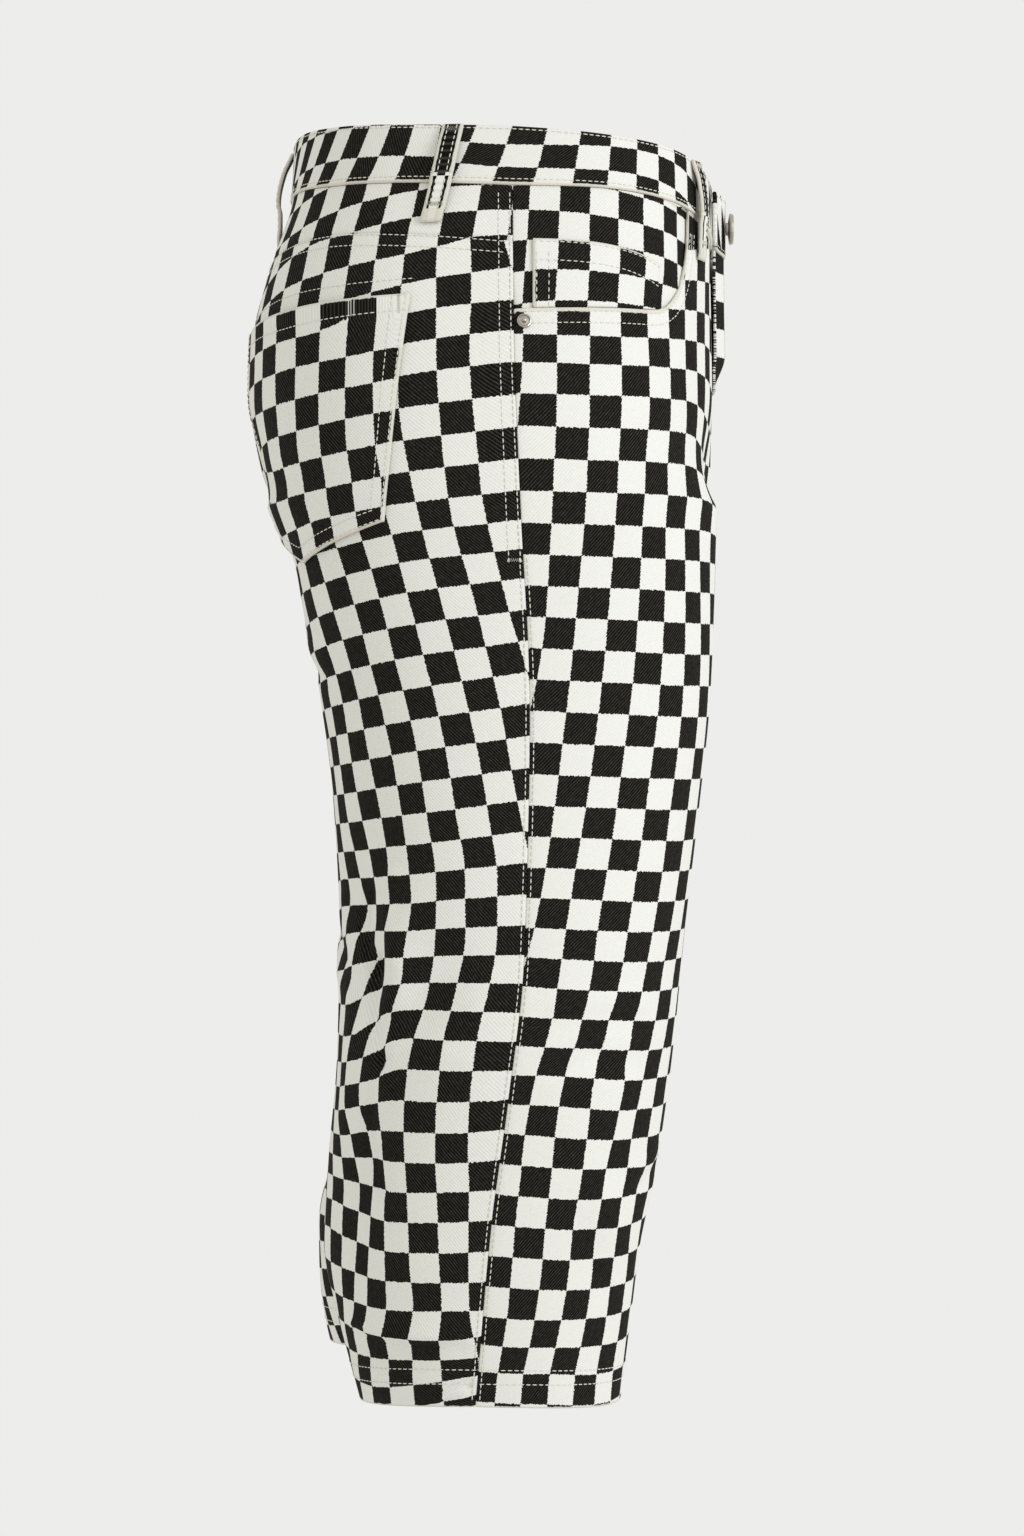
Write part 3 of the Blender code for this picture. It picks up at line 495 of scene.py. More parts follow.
# %% Charts of check counts
# First distance from the outseam, its step, first height and its step, in mm; then two tables with a row for each
# height: checks gone by across, and down
GRAIN = {
    "front": (0, 20, -50, -25, """
-9.38 -8.20 -7.02 -5.84 -4.68 -3.55 -2.46 -1.40 -0.37 0.64 1.65
-9.34 -8.16 -6.99 -5.84 -4.70 -3.57 -2.46 -1.38 -0.32 0.72 1.76
-9.29 -8.11 -6.96 -5.84 -4.74 -3.62 -2.48 -1.37 -0.29 0.80 1.89
-9.21 -8.07 -6.92 -5.86 -4.80 -3.69 -2.53 -1.42 -0.28 0.88 2.06
-9.05 -8.00 -6.86 -5.78 -4.75 -3.68 -2.63 -1.51 -0.24 1.02 2.25
-8.88 -7.87 -6.69 -5.54 -4.37 -3.25 -2.19 -1.08 0.09 1.25 2.41
-8.88 -7.72 -6.51 -5.26 -3.95 -2.65 -1.46 -0.44 0.51 1.51 2.55
-8.82 -7.51 -6.29 -5.06 -3.80 -2.51 -1.26 -0.20 0.77 1.73 2.70
-8.64 -7.28 -6.06 -4.87 -3.68 -2.49 -1.30 -0.21 0.83 1.84 2.84
-8.31 -7.05 -5.85 -4.69 -3.56 -2.47 -1.36 -0.27 0.82 1.89 2.95
-7.96 -6.86 -5.64 -4.50 -3.44 -2.40 -1.36 -0.29 0.81 1.91 3.02
-7.88 -6.68 -5.44 -4.31 -3.28 -2.28 -1.28 -0.25 0.84 1.95 3.08
-7.81 -6.46 -5.25 -4.14 -3.11 -2.12 -1.13 -0.13 0.94 2.05 3.17
-7.61 -6.23 -5.04 -3.96 -2.97 -1.95 -0.94 0.07 1.13 2.22 3.31
-7.30 -6.02 -4.84 -3.78 -2.76 -1.69 -0.65 0.38 1.41 2.45 3.49
-6.96 -5.87 -4.69 -3.56 -2.44 -1.29 -0.25 0.72 1.71 2.72 3.73
-6.90 -5.75 -4.43 -3.27 -2.26 -1.13 -0.03 0.99 1.99 2.99 4.00
-6.84 -5.42 -4.14 -3.18 -2.12 -0.90 0.16 1.19 2.22 3.26 4.29
-6.73 -5.33 -4.17 -3.06 -1.68 -0.67 0.29 1.37 2.45 3.52 4.57
-6.76 -5.41 -4.18 -2.79 -1.68 -0.56 0.52 1.61 2.68 3.76 4.84
-6.79 -5.45 -4.15 -2.68 -1.46 -0.27 0.74 1.79 2.89 4.00 5.11
-6.81 -5.48 -4.16 -2.82 -1.51 -0.40 0.77 1.95 3.10 4.25 5.39
-6.86 -5.40 -4.00 -2.70 -1.44 -0.22 0.94 2.11 3.30 4.48 5.66
-6.77 -5.18 -3.75 -2.43 -1.16 -0.04 1.11 2.29 3.49 4.70 5.92
""", """
-30.11 -30.02 -29.92 -29.81 -29.68 -29.53 -29.36 -29.19 -29.01 -28.82 -28.65
-28.35 -28.30 -28.25 -28.17 -28.06 -27.94 -27.81 -27.70 -27.61 -27.55 -27.52
-26.59 -26.60 -26.58 -26.53 -26.44 -26.34 -26.25 -26.20 -26.21 -26.28 -26.36
-24.85 -24.85 -24.85 -24.81 -24.76 -24.72 -24.67 -24.72 -24.84 -25.00 -25.13
-23.29 -23.32 -23.31 -23.27 -23.23 -23.20 -23.19 -23.36 -23.59 -23.67 -23.75
-21.77 -21.78 -21.79 -21.76 -21.74 -21.71 -21.74 -21.89 -22.06 -22.15 -22.21
-20.22 -20.24 -20.25 -20.25 -20.25 -20.24 -20.24 -20.31 -20.39 -20.47 -20.54
-18.61 -18.65 -18.67 -18.67 -18.68 -18.67 -18.65 -18.65 -18.70 -18.75 -18.80
-16.99 -17.03 -17.06 -17.08 -17.10 -17.09 -17.07 -17.04 -17.03 -17.04 -17.05
-15.36 -15.42 -15.46 -15.49 -15.51 -15.50 -15.48 -15.44 -15.40 -15.37 -15.35
-13.74 -13.80 -13.84 -13.88 -13.90 -13.91 -13.89 -13.85 -13.80 -13.75 -13.70
-12.13 -12.18 -12.22 -12.26 -12.29 -12.30 -12.29 -12.26 -12.21 -12.15 -12.09
-10.48 -10.53 -10.57 -10.62 -10.66 -10.67 -10.66 -10.64 -10.61 -10.56 -10.51
-8.82 -8.85 -8.91 -8.98 -9.02 -9.03 -9.02 -9.00 -8.98 -8.96 -8.93
-7.09 -7.15 -7.23 -7.30 -7.34 -7.35 -7.35 -7.34 -7.33 -7.32 -7.32
-5.33 -5.43 -5.53 -5.60 -5.65 -5.64 -5.64 -5.65 -5.66 -5.66 -5.66
-3.59 -3.70 -3.77 -3.86 -3.94 -3.96 -3.96 -3.97 -3.97 -3.97 -3.97
-1.84 -1.88 -2.00 -2.14 -2.24 -2.26 -2.26 -2.25 -2.26 -2.26 -2.26
-0.09 -0.20 -0.34 -0.47 -0.51 -0.55 -0.53 -0.52 -0.54 -0.55 -0.57
1.58 1.45 1.34 1.28 1.20 1.16 1.20 1.20 1.18 1.15 1.12
3.21 3.09 2.96 2.95 2.89 2.89 2.91 2.90 2.87 2.83 2.79
4.80 4.70 4.58 4.52 4.50 4.51 4.59 4.58 4.54 4.50 4.45
6.43 6.29 6.21 6.15 6.12 6.15 6.22 6.22 6.19 6.15 6.10
8.19 8.10 8.01 7.86 7.80 7.80 7.81 7.82 7.82 7.80 7.75
"""),
    "back": (0, 20, -50, -20, """
-10.46 -9.12 -7.81 -6.50 -5.21 -3.96 -2.79 -1.67 -0.60 0.43 1.45
-10.09 -9.06 -7.91 -6.70 -5.38 -4.15 -2.97 -1.86 -0.81 0.28 1.37
-9.85 -9.06 -7.92 -6.82 -5.54 -4.33 -3.17 -2.06 -0.95 0.18 1.30
-9.83 -9.11 -7.93 -6.87 -5.71 -4.52 -3.35 -2.19 -1.05 0.09 1.23
-9.84 -9.11 -7.93 -6.93 -5.80 -4.63 -3.45 -2.28 -1.12 0.03 1.18
-9.85 -9.06 -7.89 -6.91 -5.79 -4.63 -3.46 -2.30 -1.14 0.02 1.17
-9.87 -9.00 -7.84 -6.78 -5.66 -4.52 -3.38 -2.23 -1.09 0.06 1.20
-9.89 -8.94 -7.73 -6.57 -5.44 -4.33 -3.21 -2.09 -0.96 0.17 1.31
-9.89 -8.75 -7.55 -6.31 -5.17 -4.07 -2.97 -1.87 -0.75 0.38 1.52
-9.79 -8.48 -7.27 -6.07 -4.86 -3.72 -2.64 -1.53 -0.43 0.70 1.85
-9.52 -8.23 -7.02 -5.79 -4.56 -3.36 -2.25 -1.13 -0.01 1.14 2.30
-9.16 -7.99 -6.75 -5.53 -4.30 -2.98 -1.74 -0.67 0.49 1.67 2.85
-8.92 -7.72 -6.45 -5.21 -3.95 -2.62 -1.31 -0.12 1.05 2.24 3.42
-8.79 -7.43 -6.17 -4.89 -3.62 -2.39 -1.04 0.37 1.61 2.78 3.95
-8.54 -7.17 -5.92 -4.63 -3.30 -2.12 -0.82 0.66 1.98 3.18 4.34
-8.22 -6.94 -5.69 -4.37 -2.95 -1.72 -0.48 0.95 2.23 3.42 4.55
-7.93 -6.70 -5.41 -4.10 -2.59 -1.15 0.06 1.26 2.42 3.52 4.60
-7.89 -6.62 -5.34 -3.87 -2.31 -0.71 0.58 1.54 2.50 3.53 4.57
-7.90 -6.60 -5.33 -4.00 -2.65 -1.18 0.29 1.46 2.46 3.50 4.56
-7.92 -6.77 -5.50 -4.07 -2.75 -1.43 -0.20 1.03 2.23 3.42 4.62
-7.90 -6.94 -5.74 -4.52 -3.13 -1.88 -0.67 0.66 2.03 3.37 4.70
-7.89 -6.96 -5.75 -4.64 -3.54 -2.22 -0.86 0.60 2.01 3.40 4.76
-7.94 -6.92 -5.71 -4.64 -3.52 -2.09 -0.57 0.85 2.18 3.50 4.82
-7.92 -6.79 -5.57 -4.38 -2.79 -1.26 0.02 1.23 2.44 3.67 4.90
-7.86 -6.55 -5.34 -3.97 -2.03 -0.56 0.54 1.60 2.73 3.89 5.07
-7.77 -6.38 -5.12 -3.69 -1.77 -0.36 0.75 1.89 3.04 4.19 5.34
-7.65 -6.23 -4.93 -3.48 -1.57 -0.18 0.97 2.16 3.34 4.52 5.69
-7.51 -6.05 -4.70 -3.38 -1.64 -0.08 1.20 2.43 3.65 4.88 6.11
-7.10 -6.03 -4.73 -3.40 -1.79 -0.19 1.24 2.60 3.92 5.25 6.58
-6.95 -5.86 -4.57 -3.23 -1.84 -0.35 1.18 2.67 4.13 5.60 7.08
-6.91 -5.65 -4.39 -3.12 -1.81 -0.40 1.11 2.70 4.32 5.95 7.57
""", """
-31.07 -31.39 -31.83 -32.14 -32.23 -32.26 -32.41 -32.75 -33.13 -33.53 -33.94
-30.19 -30.38 -30.60 -30.84 -31.01 -31.17 -31.32 -31.53 -31.83 -32.15 -32.49
-29.04 -29.18 -29.33 -29.58 -29.85 -30.02 -30.13 -30.27 -30.49 -30.77 -31.06
-27.76 -27.89 -28.05 -28.26 -28.51 -28.73 -28.90 -29.05 -29.22 -29.43 -29.65
-26.56 -26.68 -26.82 -26.99 -27.21 -27.42 -27.61 -27.78 -27.94 -28.11 -28.28
-25.33 -25.48 -25.62 -25.76 -25.94 -26.12 -26.31 -26.48 -26.64 -26.80 -26.95
-24.08 -24.24 -24.38 -24.52 -24.67 -24.84 -25.01 -25.18 -25.34 -25.49 -25.63
-22.81 -22.98 -23.11 -23.24 -23.39 -23.56 -23.73 -23.88 -24.03 -24.17 -24.32
-21.43 -21.60 -21.72 -21.86 -22.08 -22.28 -22.44 -22.57 -22.72 -22.87 -23.02
-20.06 -20.21 -20.35 -20.50 -20.71 -20.93 -21.13 -21.26 -21.41 -21.57 -21.72
-18.76 -18.94 -19.08 -19.24 -19.42 -19.63 -19.82 -20.01 -20.15 -20.28 -20.41
-17.45 -17.64 -17.80 -17.97 -18.16 -18.35 -18.53 -18.68 -18.84 -18.96 -19.09
-16.16 -16.35 -16.52 -16.69 -16.87 -17.05 -17.20 -17.32 -17.46 -17.60 -17.74
-14.89 -15.07 -15.23 -15.40 -15.57 -15.73 -15.85 -15.94 -16.07 -16.21 -16.36
-13.61 -13.78 -13.94 -14.10 -14.25 -14.40 -14.49 -14.55 -14.67 -14.82 -14.98
-12.29 -12.47 -12.64 -12.78 -12.91 -13.04 -13.12 -13.18 -13.29 -13.45 -13.61
-11.00 -11.13 -11.28 -11.43 -11.54 -11.65 -11.72 -11.80 -11.93 -12.08 -12.25
-9.67 -9.77 -9.87 -10.02 -10.08 -10.15 -10.25 -10.40 -10.56 -10.73 -10.90
-8.32 -8.35 -8.40 -8.51 -8.56 -8.68 -8.89 -9.05 -9.22 -9.37 -9.51
-6.89 -6.87 -6.87 -6.95 -7.14 -7.52 -7.71 -7.82 -7.92 -8.00 -8.08
-5.47 -5.44 -5.43 -5.44 -5.88 -6.46 -6.57 -6.54 -6.55 -6.57 -6.59
-4.04 -4.06 -4.07 -4.11 -4.62 -4.99 -5.14 -5.14 -5.11 -5.08 -5.07
-2.64 -2.73 -2.77 -2.78 -2.99 -3.31 -3.52 -3.55 -3.53 -3.51 -3.51
-1.30 -1.42 -1.46 -1.47 -1.53 -1.77 -1.79 -1.79 -1.83 -1.88 -1.93
0.04 -0.04 -0.11 -0.12 0.02 0.10 0.10 -0.02 -0.13 -0.23 -0.32
1.35 1.28 1.22 1.22 1.42 1.64 1.64 1.56 1.47 1.39 1.33
2.61 2.56 2.53 2.54 2.72 2.82 2.88 2.95 2.97 2.98 2.98
3.96 3.93 3.87 3.86 3.97 4.07 4.17 4.30 4.41 4.50 4.58
5.51 5.37 5.36 5.35 5.38 5.46 5.54 5.66 5.81 5.97 6.13
7.55 7.15 6.82 6.66 6.68 6.77 6.87 7.02 7.21 7.42 7.63
9.50 8.94 8.43 8.09 7.97 8.01 8.16 8.36 8.60 8.85 9.12
"""),
    "back_pocket": (60, 22, -100, -21, """
-5.54 -4.09 -2.76 -1.54 -0.31 1.03 2.39
-5.70 -4.22 -2.88 -1.65 -0.55 0.80 2.10
-5.72 -4.29 -2.97 -1.77 -0.65 0.50 1.81
-5.70 -4.31 -3.01 -1.83 -0.70 0.48 1.75
-5.53 -4.16 -2.82 -1.52 -0.18 1.18 2.45
-5.79 -4.06 -2.66 -1.19 0.20 1.50 2.80
""", """
-1.96 -2.00 -2.39 -2.50 -2.60 -2.77 -2.91
-0.68 -0.89 -1.00 -1.09 -1.19 -1.26 -1.43
0.67 0.50 0.34 0.22 0.15 0.07 0.02
2.01 1.82 1.66 1.55 1.48 1.42 1.36
3.31 3.11 2.92 2.79 2.69 2.85 3.66
4.81 4.61 4.43 4.18 4.05 3.95 3.85
"""),
}
GRAIN_SLOPE = 0.0625  # checks in a millimetre of cloth that lies straight
OTHER_SIDE = (0.43, 0.61)  # the left leg's checks start this much later


# %% Reading a chart
def curve_weights(place, count):
    """Indices and weights of the four chart places round each place, for a curve through them."""
    place = np.clip(place, 0, count - 1 - 1e-9)
    first = place.astype(int)
    t = place - first
    weights = [
        (-t + 2 * t**2 - t**3) / 2,
        (2 - 5 * t**2 + 3 * t**3) / 2,
        (t + 4 * t**2 - 3 * t**3) / 2,
        (-(t**2) + t**3) / 2,
    ]
    found = []
    for shift, weight in zip((-1, 0, 1, 2), weights):
        inside = np.clip(first + shift, 0, count - 1)
        # a place past the chart's edge stands for the straight line through the last two
        past = first + shift - inside
        neighbour = np.clip(inside - past, 0, count - 1)
        found += [(inside, weight * (1 + np.abs(past))), (neighbour, -weight * np.abs(past))]
    return found


def read_chart(values, across_place, down_place):
    down_count, across_count = values.shape
    total = 0.0
    for row, row_weight in curve_weights(down_place, down_count):
        for col, col_weight in curve_weights(across_place, across_count):
            total = total + values[row, col] * row_weight * col_weight
    return total


def chart_table(text):
    return np.array([[float(value) for value in line.split()] for line in text.strip().splitlines()])


CHARTS = {name: (*chart[:4], chart_table(chart[4]), chart_table(chart[5])) for name, chart in GRAIN.items()}


def chart_counts(name, across, height):
    """Check counts read from a chart; past its edges they go on straight."""
    first, step, top, drop, across_counts, down_counts = CHARTS[name]
    over = (1000 * across - first) / step
    down = (1000 * height - top) / drop
    counts = []
    for values, slope_over, slope_down in (
        (across_counts, step * GRAIN_SLOPE, 0.0),
        (down_counts, 0.0, np.abs(drop) * GRAIN_SLOPE),
    ):
        rows, columns = values.shape
        count = read_chart(values, over, down)
        count = count + np.maximum(over - columns + 1, 0) * slope_over
        counts.append(count + np.maximum(down - rows + 1, 0) * slope_down)
    return counts


# %% Check counts of the small pieces
# Factors of both counts for 1, a, h, a2, a*h, a3, with a and the height h in tenths of a metre
PIECE_GRAIN = {
    "yoke": ((-8.682, 6.193, 0.808, 0.915, 1.22, -0.334), (-2.391, 0.608, -7.703, -1.395, 1.13, 0.499)),
    "band_back": ((-7.179, 5.183, -1.413, 2.494, 6.863, -0.515), (-1.13, 0.402, -5.987, 0.171, -0.19, -0.233)),
    "band_front": ((0.992, 5.508, -1.699, 0.232, 2.275, 0.723), (0.166, -0.043, -8.375, 1.238, 1.15, -1.396)),
    "pocket_facing": ((-3.771, 7.163, -0.533, -1.184, 0.946, 0.818), (-2.719, -0.418, -6.19, -1.033, -1.267, 0.339)),
}


def factor_counts(name, across, height):
    a, h = 10 * across, 10 * height
    terms = (np.ones_like(a), a, h, a**2, a * h, a**3)
    return [sum(factor * term for factor, term in zip(row, terms)) for row in PIECE_GRAIN[name]]


def piece_grain(side, name, across, height):
    """Check counts (across, down) at places of a piece; the left leg's start a little later."""
    counts = (chart_counts if name in CHARTS else factor_counts)(name, across, height)
    if side > 0:
        counts = [count + later for count, later in zip(counts, OTHER_SIDE)]
    return np.stack(counts, -1)


print("charts", {name: chart[4].shape for name, chart in CHARTS.items()})

# %% [markdown]
# ## Front and back panels
# Four panels make the legs and the seat. Each is a grid of places: columns from the outseam to the inner end, rows
# from its own top edge to the hem. The front's top edge is the scooped mouth of the pocket, so its columns stand
# close together round that corner. Modelling by hand would lose the match with the CAD; this keeps it.

# %% Edges that the pieces share
SCOOP_LEVEL = -0.0955  # height of the pocket's mouth at the outseam
SCOOP_RISE = 0.0045  # how much higher it is at its front end
SCOOP_REACH = 0.097  # how far forward of the middle it reaches
SCOOP_RADIUS = 0.040  # of its corner, along the cloth
SCOOP_ROUND = 2.2  # how square that corner is: 2 is an ellipse
ROUNDED = 0.0004  # how far a folded edge rounds off
LOOP_WAYS = {"back": (0.163, 0.210), "front": (0.620, 0.655)}  # of a belt loop's top and foot
HANDS = ((-1, "right"), (1, "left"))
pieces = {}  # each made piece by the name of its CAD node


def mouth_way():
    """Share of the front at which the pocket's mouth meets the waistband."""
    height = (SCOOP_LEVEL + edge(LOOP_WAYS["front"][1], "band_low_front")) / 2
    row = int(round((HEIGHTS[0] - height) / ROW_STEP))
    front = ALONG[row] > 0
    across = np.interp(SCOOP_REACH, -SECTION_Y[row, front], ALONG[row, front])
    return float(way_at("front", across, height))


MOUTH_WAY = mouth_way()
FRONT_REACH = float(reach_of("front", SCOOP_LEVEL))


def scoop_level(way):
    return SCOOP_LEVEL + SCOOP_RISE * np.minimum(way / MOUTH_WAY, 1)


def scoop_height(way):
    """Height of the mouth's edge: rising a little, then round a quarter up to the waistband."""
    radius = SCOOP_RADIUS / FRONT_REACH
    level = scoop_level(way)
    top = edge(way, "band_low_front") - SEAM_GAP
    past = np.clip((way - (MOUTH_WAY - radius)) / radius, 0, 1)
    return level + (top - level) * (1 - np.sqrt(1 - past**SCOOP_ROUND))


def yoke_seam(way):
    return edge(way, "yoke") - SEAM_GAP


def hem_height(way):
    return HEM_SIDE + (HEM_FRONT_BACK - HEM_SIDE) * np.sin(math.pi * way) ** 2


print("the pocket mouth meets the waistband at", round(MOUTH_WAY, 3), "of the front")

# %% Grids of places
PANEL_TOP = -0.112  # between these heights the rows are level,
PANEL_LOW = -0.628
PANEL_STEP = 0.0028  # this far apart
HEAD_ROWS = 19  # from a panel's own top edge down to the level rows
FOOT_ROWS = 12  # from them down to the hem
SEAM_ROLL = 0.0006  # how far a seam's edge sinks
SEAM_ROLL_WIDTH = 0.0016  # and over what width
FOLD_WIDTH = 0.0014  # how far a folded edge's pale mark reaches: bare cotton with a painted highlight
MOUTH_FOLD = 1.5  # the pocket mouth's pale fold mark is this much wider,
HEM_FOLD = 1 / 1.6  # and the hem's narrower


def panel_rows(ways, top):
    """Heights (rows, columns) from a panel's own top edge to its hem."""
    head = top(ways)
    rows = [head * (1 - s) + PANEL_TOP * s for s in np.linspace(0, 1, HEAD_ROWS)[:-1]]
    rows += [np.full_like(ways, h) for h in np.arange(PANEL_TOP, PANEL_LOW, -PANEL_STEP)]
    foot = hem_height(ways)
    rows += [PANEL_LOW * (1 - s) + foot * s for s in np.linspace(0, 1, FOOT_ROWS)]
    return np.array(rows)


def places(panel, ways, heights):
    """Distances from the outseam, half a seam gap short of each end."""
    ways = np.broadcast_to(ways, heights.shape)
    across = across_at(panel, ways, heights)
    return np.clip(across, SEAM_GAP / 2, reach_of(panel, heights) - SEAM_GAP / 2)


def laid(side, panel, across, height, out=0.0):
    """Points of cloth laid on the form, its folds and its creases, with the form's normals."""
    points, normals = bare(side, panel, across, height)
    out = out + fold_out(side, panel, across, height) + crease_out(side, panel, across, height)
    points = points + normals * out[..., None]
    points[..., 0] = side * np.maximum(side * points[..., 0], SEAM_GAP / 2)
    return points, normals


def seam_roll(*distances):
    """How far the cloth sinks near seams that are so far away."""
    return -SEAM_ROLL * sum(np.exp(-distance / SEAM_ROLL_WIDTH) for distance in distances)


# Columns stand close together by the outseam, where the seam rolls in, and round the mouth's corner
SEAM_WAYS = (0.0, 0.004, 0.009, 0.016, 0.026)
CORNER_WAYS = np.array((1.0, 0.84, 0.7, 0.57, 0.45, 0.34, 0.25, 0.17, 0.11, 0.06, 0.025, 0.0))
LEVEL_COLUMNS = 44
PAST_COLUMNS = 40
BACK_COLUMNS = 96


def front_ways():
    corner = SCOOP_RADIUS / FRONT_REACH
    level = np.linspace(SEAM_WAYS[-1], MOUTH_WAY - corner, LEVEL_COLUMNS)[1:-1]
    past = np.linspace(MOUTH_WAY, 1, PAST_COLUMNS)[1:]
    return np.concatenate([SEAM_WAYS, level, MOUTH_WAY - corner * CORNER_WAYS, past])


def back_ways():
    return np.concatenate([SEAM_WAYS, np.linspace(SEAM_WAYS[-1], 1, BACK_COLUMNS)[1:]])


def rubbed_and_highlit_edge(distance):
    """1 on a folded edge, fading over a millimetre or so: bare cotton where the print is rubbed off, and a painted
    highlight on the rounded edge.
    """
    return np.exp(-((distance / FOLD_WIDTH) ** 2))


def leg_panel(side, panel, name, ways, top):
    heights = panel_rows(ways, top)
    across = places(panel, ways, heights)
    out = seam_roll(across, reach_of(panel, heights) - across)
    face, normals = laid(side, panel, across, heights, out)
    uv = piece_grain(side, panel, across, heights)
    # Pale marks along the hem's and the mouth's folds: bare cotton, and a painted highlight on the rounded edge
    fold = rubbed_and_highlit_edge((heights - heights[-1]) / HEM_FOLD)
    if panel == "front":
        fold = np.maximum(fold, rubbed_and_highlit_edge((heights[0] - heights) / MOUTH_FOLD))
    return thin_cloth(name, face, normals, CLOTH, uv, fold)


for side, hand in HANDS:
    pieces["front_" + hand] = leg_panel(side, "front", "front_panel_" + hand, front_ways(), scoop_height)
    pieces["back_" + hand] = leg_panel(side, "back", "back_panel_" + hand, back_ways(), yoke_seam)
print({name: len(made.data.polygons) for name, made in pieces.items()})

# %% [markdown]
# ## Yokes, pocket facings and coin pocket
# A yoke is the wedge that gives the back its shape without darts. In front, the facing is the cloth seen inside the
# pocket's mouth, with the small coin pocket on the wearer's right. Each lies on the same form, so the same functions
# lay it, moved out or in by the thickness of what it lies on.

# %% Yokes
YOKE_ROWS = 14


def patch_rows(count, top, low):
    """Heights (rows, columns) between two edges."""
    return np.array([top * (1 - s) + low * s for s in np.linspace(0, 1, count)])


def yoke(side, name):
    ways = back_ways()
    heights = patch_rows(YOKE_ROWS, edge(ways, "band_low_back") - SEAM_GAP, edge(ways, "yoke"))
    across = places("back", ways, heights)
    out = seam_roll(across, reach_of("back", heights) - across, heights - edge(ways, "yoke"))
    face, normals = laid(side, "back", across, heights, out)
    return thin_cloth(name, face, normals, CLOTH, piece_grain(side, "yoke", across, heights))


for side, hand in HANDS:
    pieces["yoke_" + hand] = yoke(side, "back_yoke_" + hand)
print("yoke", YOKE_ROWS, "rows,", len(back_ways()), "columns")

# %% Pocket facings and coin pocket
FACING_BELOW = 0.010  # how far the facing runs on below the mouth's edge
FACING_SLOPE = 0.028  # over what distance it dips under that edge
FACING_PAST = 0.05  # share of the front by which it runs on past the mouth
FACING_ROWS, FACING_COLUMNS = 28, 56
COIN_ACROSS = (0.010, 0.083)
COIN_TOP = -0.0595
COIN_DROP = 0.0090  # how much lower its mouth is at the front end
COIN_WALL = 0.0012
COIN_CLEAR = 0.0010  # it ends this far above the scooped edge
COIN_ROWS, COIN_COLUMNS = 24, 40
COIN_FOLD = 0.5  # its mouth's pale fold mark, bare cotton and a painted highlight, is this much narrower


def facing_depth(way, height):
    """The facing lies flush at the outseam and the waist, and dips under the mouth's edge."""
    room = np.minimum(height - scoop_level(way), (MOUTH_WAY - way) * FRONT_REACH) / FACING_SLOPE
    return -(CLOTH + TUCK) * (1 - ease(room))


def pocket_facing(side, name):
    ways = np.concatenate([SEAM_WAYS, np.linspace(SEAM_WAYS[-1], MOUTH_WAY + FACING_PAST, FACING_COLUMNS)[1:]])
    heights = patch_rows(FACING_ROWS, edge(ways, "band_low_front") - SEAM_GAP, scoop_level(ways) - FACING_BELOW)
    across = places("front", ways, heights)
    out = facing_depth(way_at("front", across, heights), heights) + seam_roll(across)
    face, normals = laid(side, "front", across, heights, out)
    return thin_cloth(name, face, normals, CLOTH, piece_grain(side, "pocket_facing", across, heights))


def coin_mouth(across):
    """Height of the coin pocket's mouth, which drops towards the front."""
    part = (across - COIN_ACROSS[0]) / (COIN_ACROSS[1] - COIN_ACROSS[0])
    return COIN_TOP - COIN_DROP * part**3


def coin_out(across, height):
    return facing_depth(way_at("front", across, height), height) + LIFT + COIN_WALL


def coin_pocket(side, name):
    across = np.linspace(*COIN_ACROSS, COIN_COLUMNS)
    low = scoop_height(way_at("front", across, SCOOP_LEVEL)) + COIN_CLEAR
    heights = patch_rows(COIN_ROWS, coin_mouth(across), low)
    across = np.broadcast_to(across, heights.shape)
    face, normals = laid(side, "front", across, heights, coin_out(across, heights))
    # Pale marks on the mouth's fold and along its first side: bare cotton and a painted highlight
    fold = np.maximum(rubbed_and_highlit_edge((heights[0] - heights) / COIN_FOLD), rubbed_and_highlit_edge(across - across[:, :1]))
    return thin_cloth(name, face, normals, COIN_WALL, piece_grain(side, "pocket_facing", across, heights), fold)


for side, hand in HANDS:
    pieces["pocket_facing_" + hand] = pocket_facing(side, "front_pocket_facing_" + hand)
pieces["coin_pocket"] = coin_pocket(-1, "coin_pocket_patch")
print("coin pocket", round(1000 * (COIN_ACROSS[1] - COIN_ACROSS[0])), "mm wide")

# %% [markdown]
# ## Back pockets
# A patch pocket is a five-sided piece with a turned top, sewn on flat. Its mouth stands off a little, as a pocket
# does when the seat pulls the cloth, so its top rows are moved out further.

# %% Back pockets
# Heights at the outer and inner edge, then those edges' distances from the outseam
POCKET_TOP = (-0.0880, -0.0960, 0.0515, 0.2025)
POCKET_CORNERS = (-0.2020, -0.2005, 0.0685, 0.1945)
POCKET_TIP = 0.0190  # how far its point hangs below the corners
POCKET_WALL = 0.0016
POCKET_LIFT = 0.0009  # gap to the panel under it
POCKET_GAPE = 0.0022  # how much further its mouth stands off
POCKET_SIZE = (0.14, 0.12)  # rough width and height, to measure how near the rim a place is
POCKET_EDGE = np.array((0.0, 0.007, 0.015, 0.026))  # shares at which its outermost rows stand
POCKET_INNER = np.linspace(0.04, 0.96, 54)
POCKET_ROUND = 0.0008  # width of its rounded rim


def pocket_place(part, share):
    """(across, height) on the patch: part 0 to 1 from its outer edge inwards, share 0 to 1 from its mouth down."""
    start, end = (POCKET_TOP[k] * (1 - share) + POCKET_CORNERS[k] * share for k in (2, 3))
    head, foot = (line[0] * (1 - part) + line[1] * part for line in (POCKET_TOP, POCKET_CORNERS))
    foot = foot - POCKET_TIP * (1 - np.abs(2 * part - 1))
    return start + (end - start) * part, head * (1 - share) + foot * share


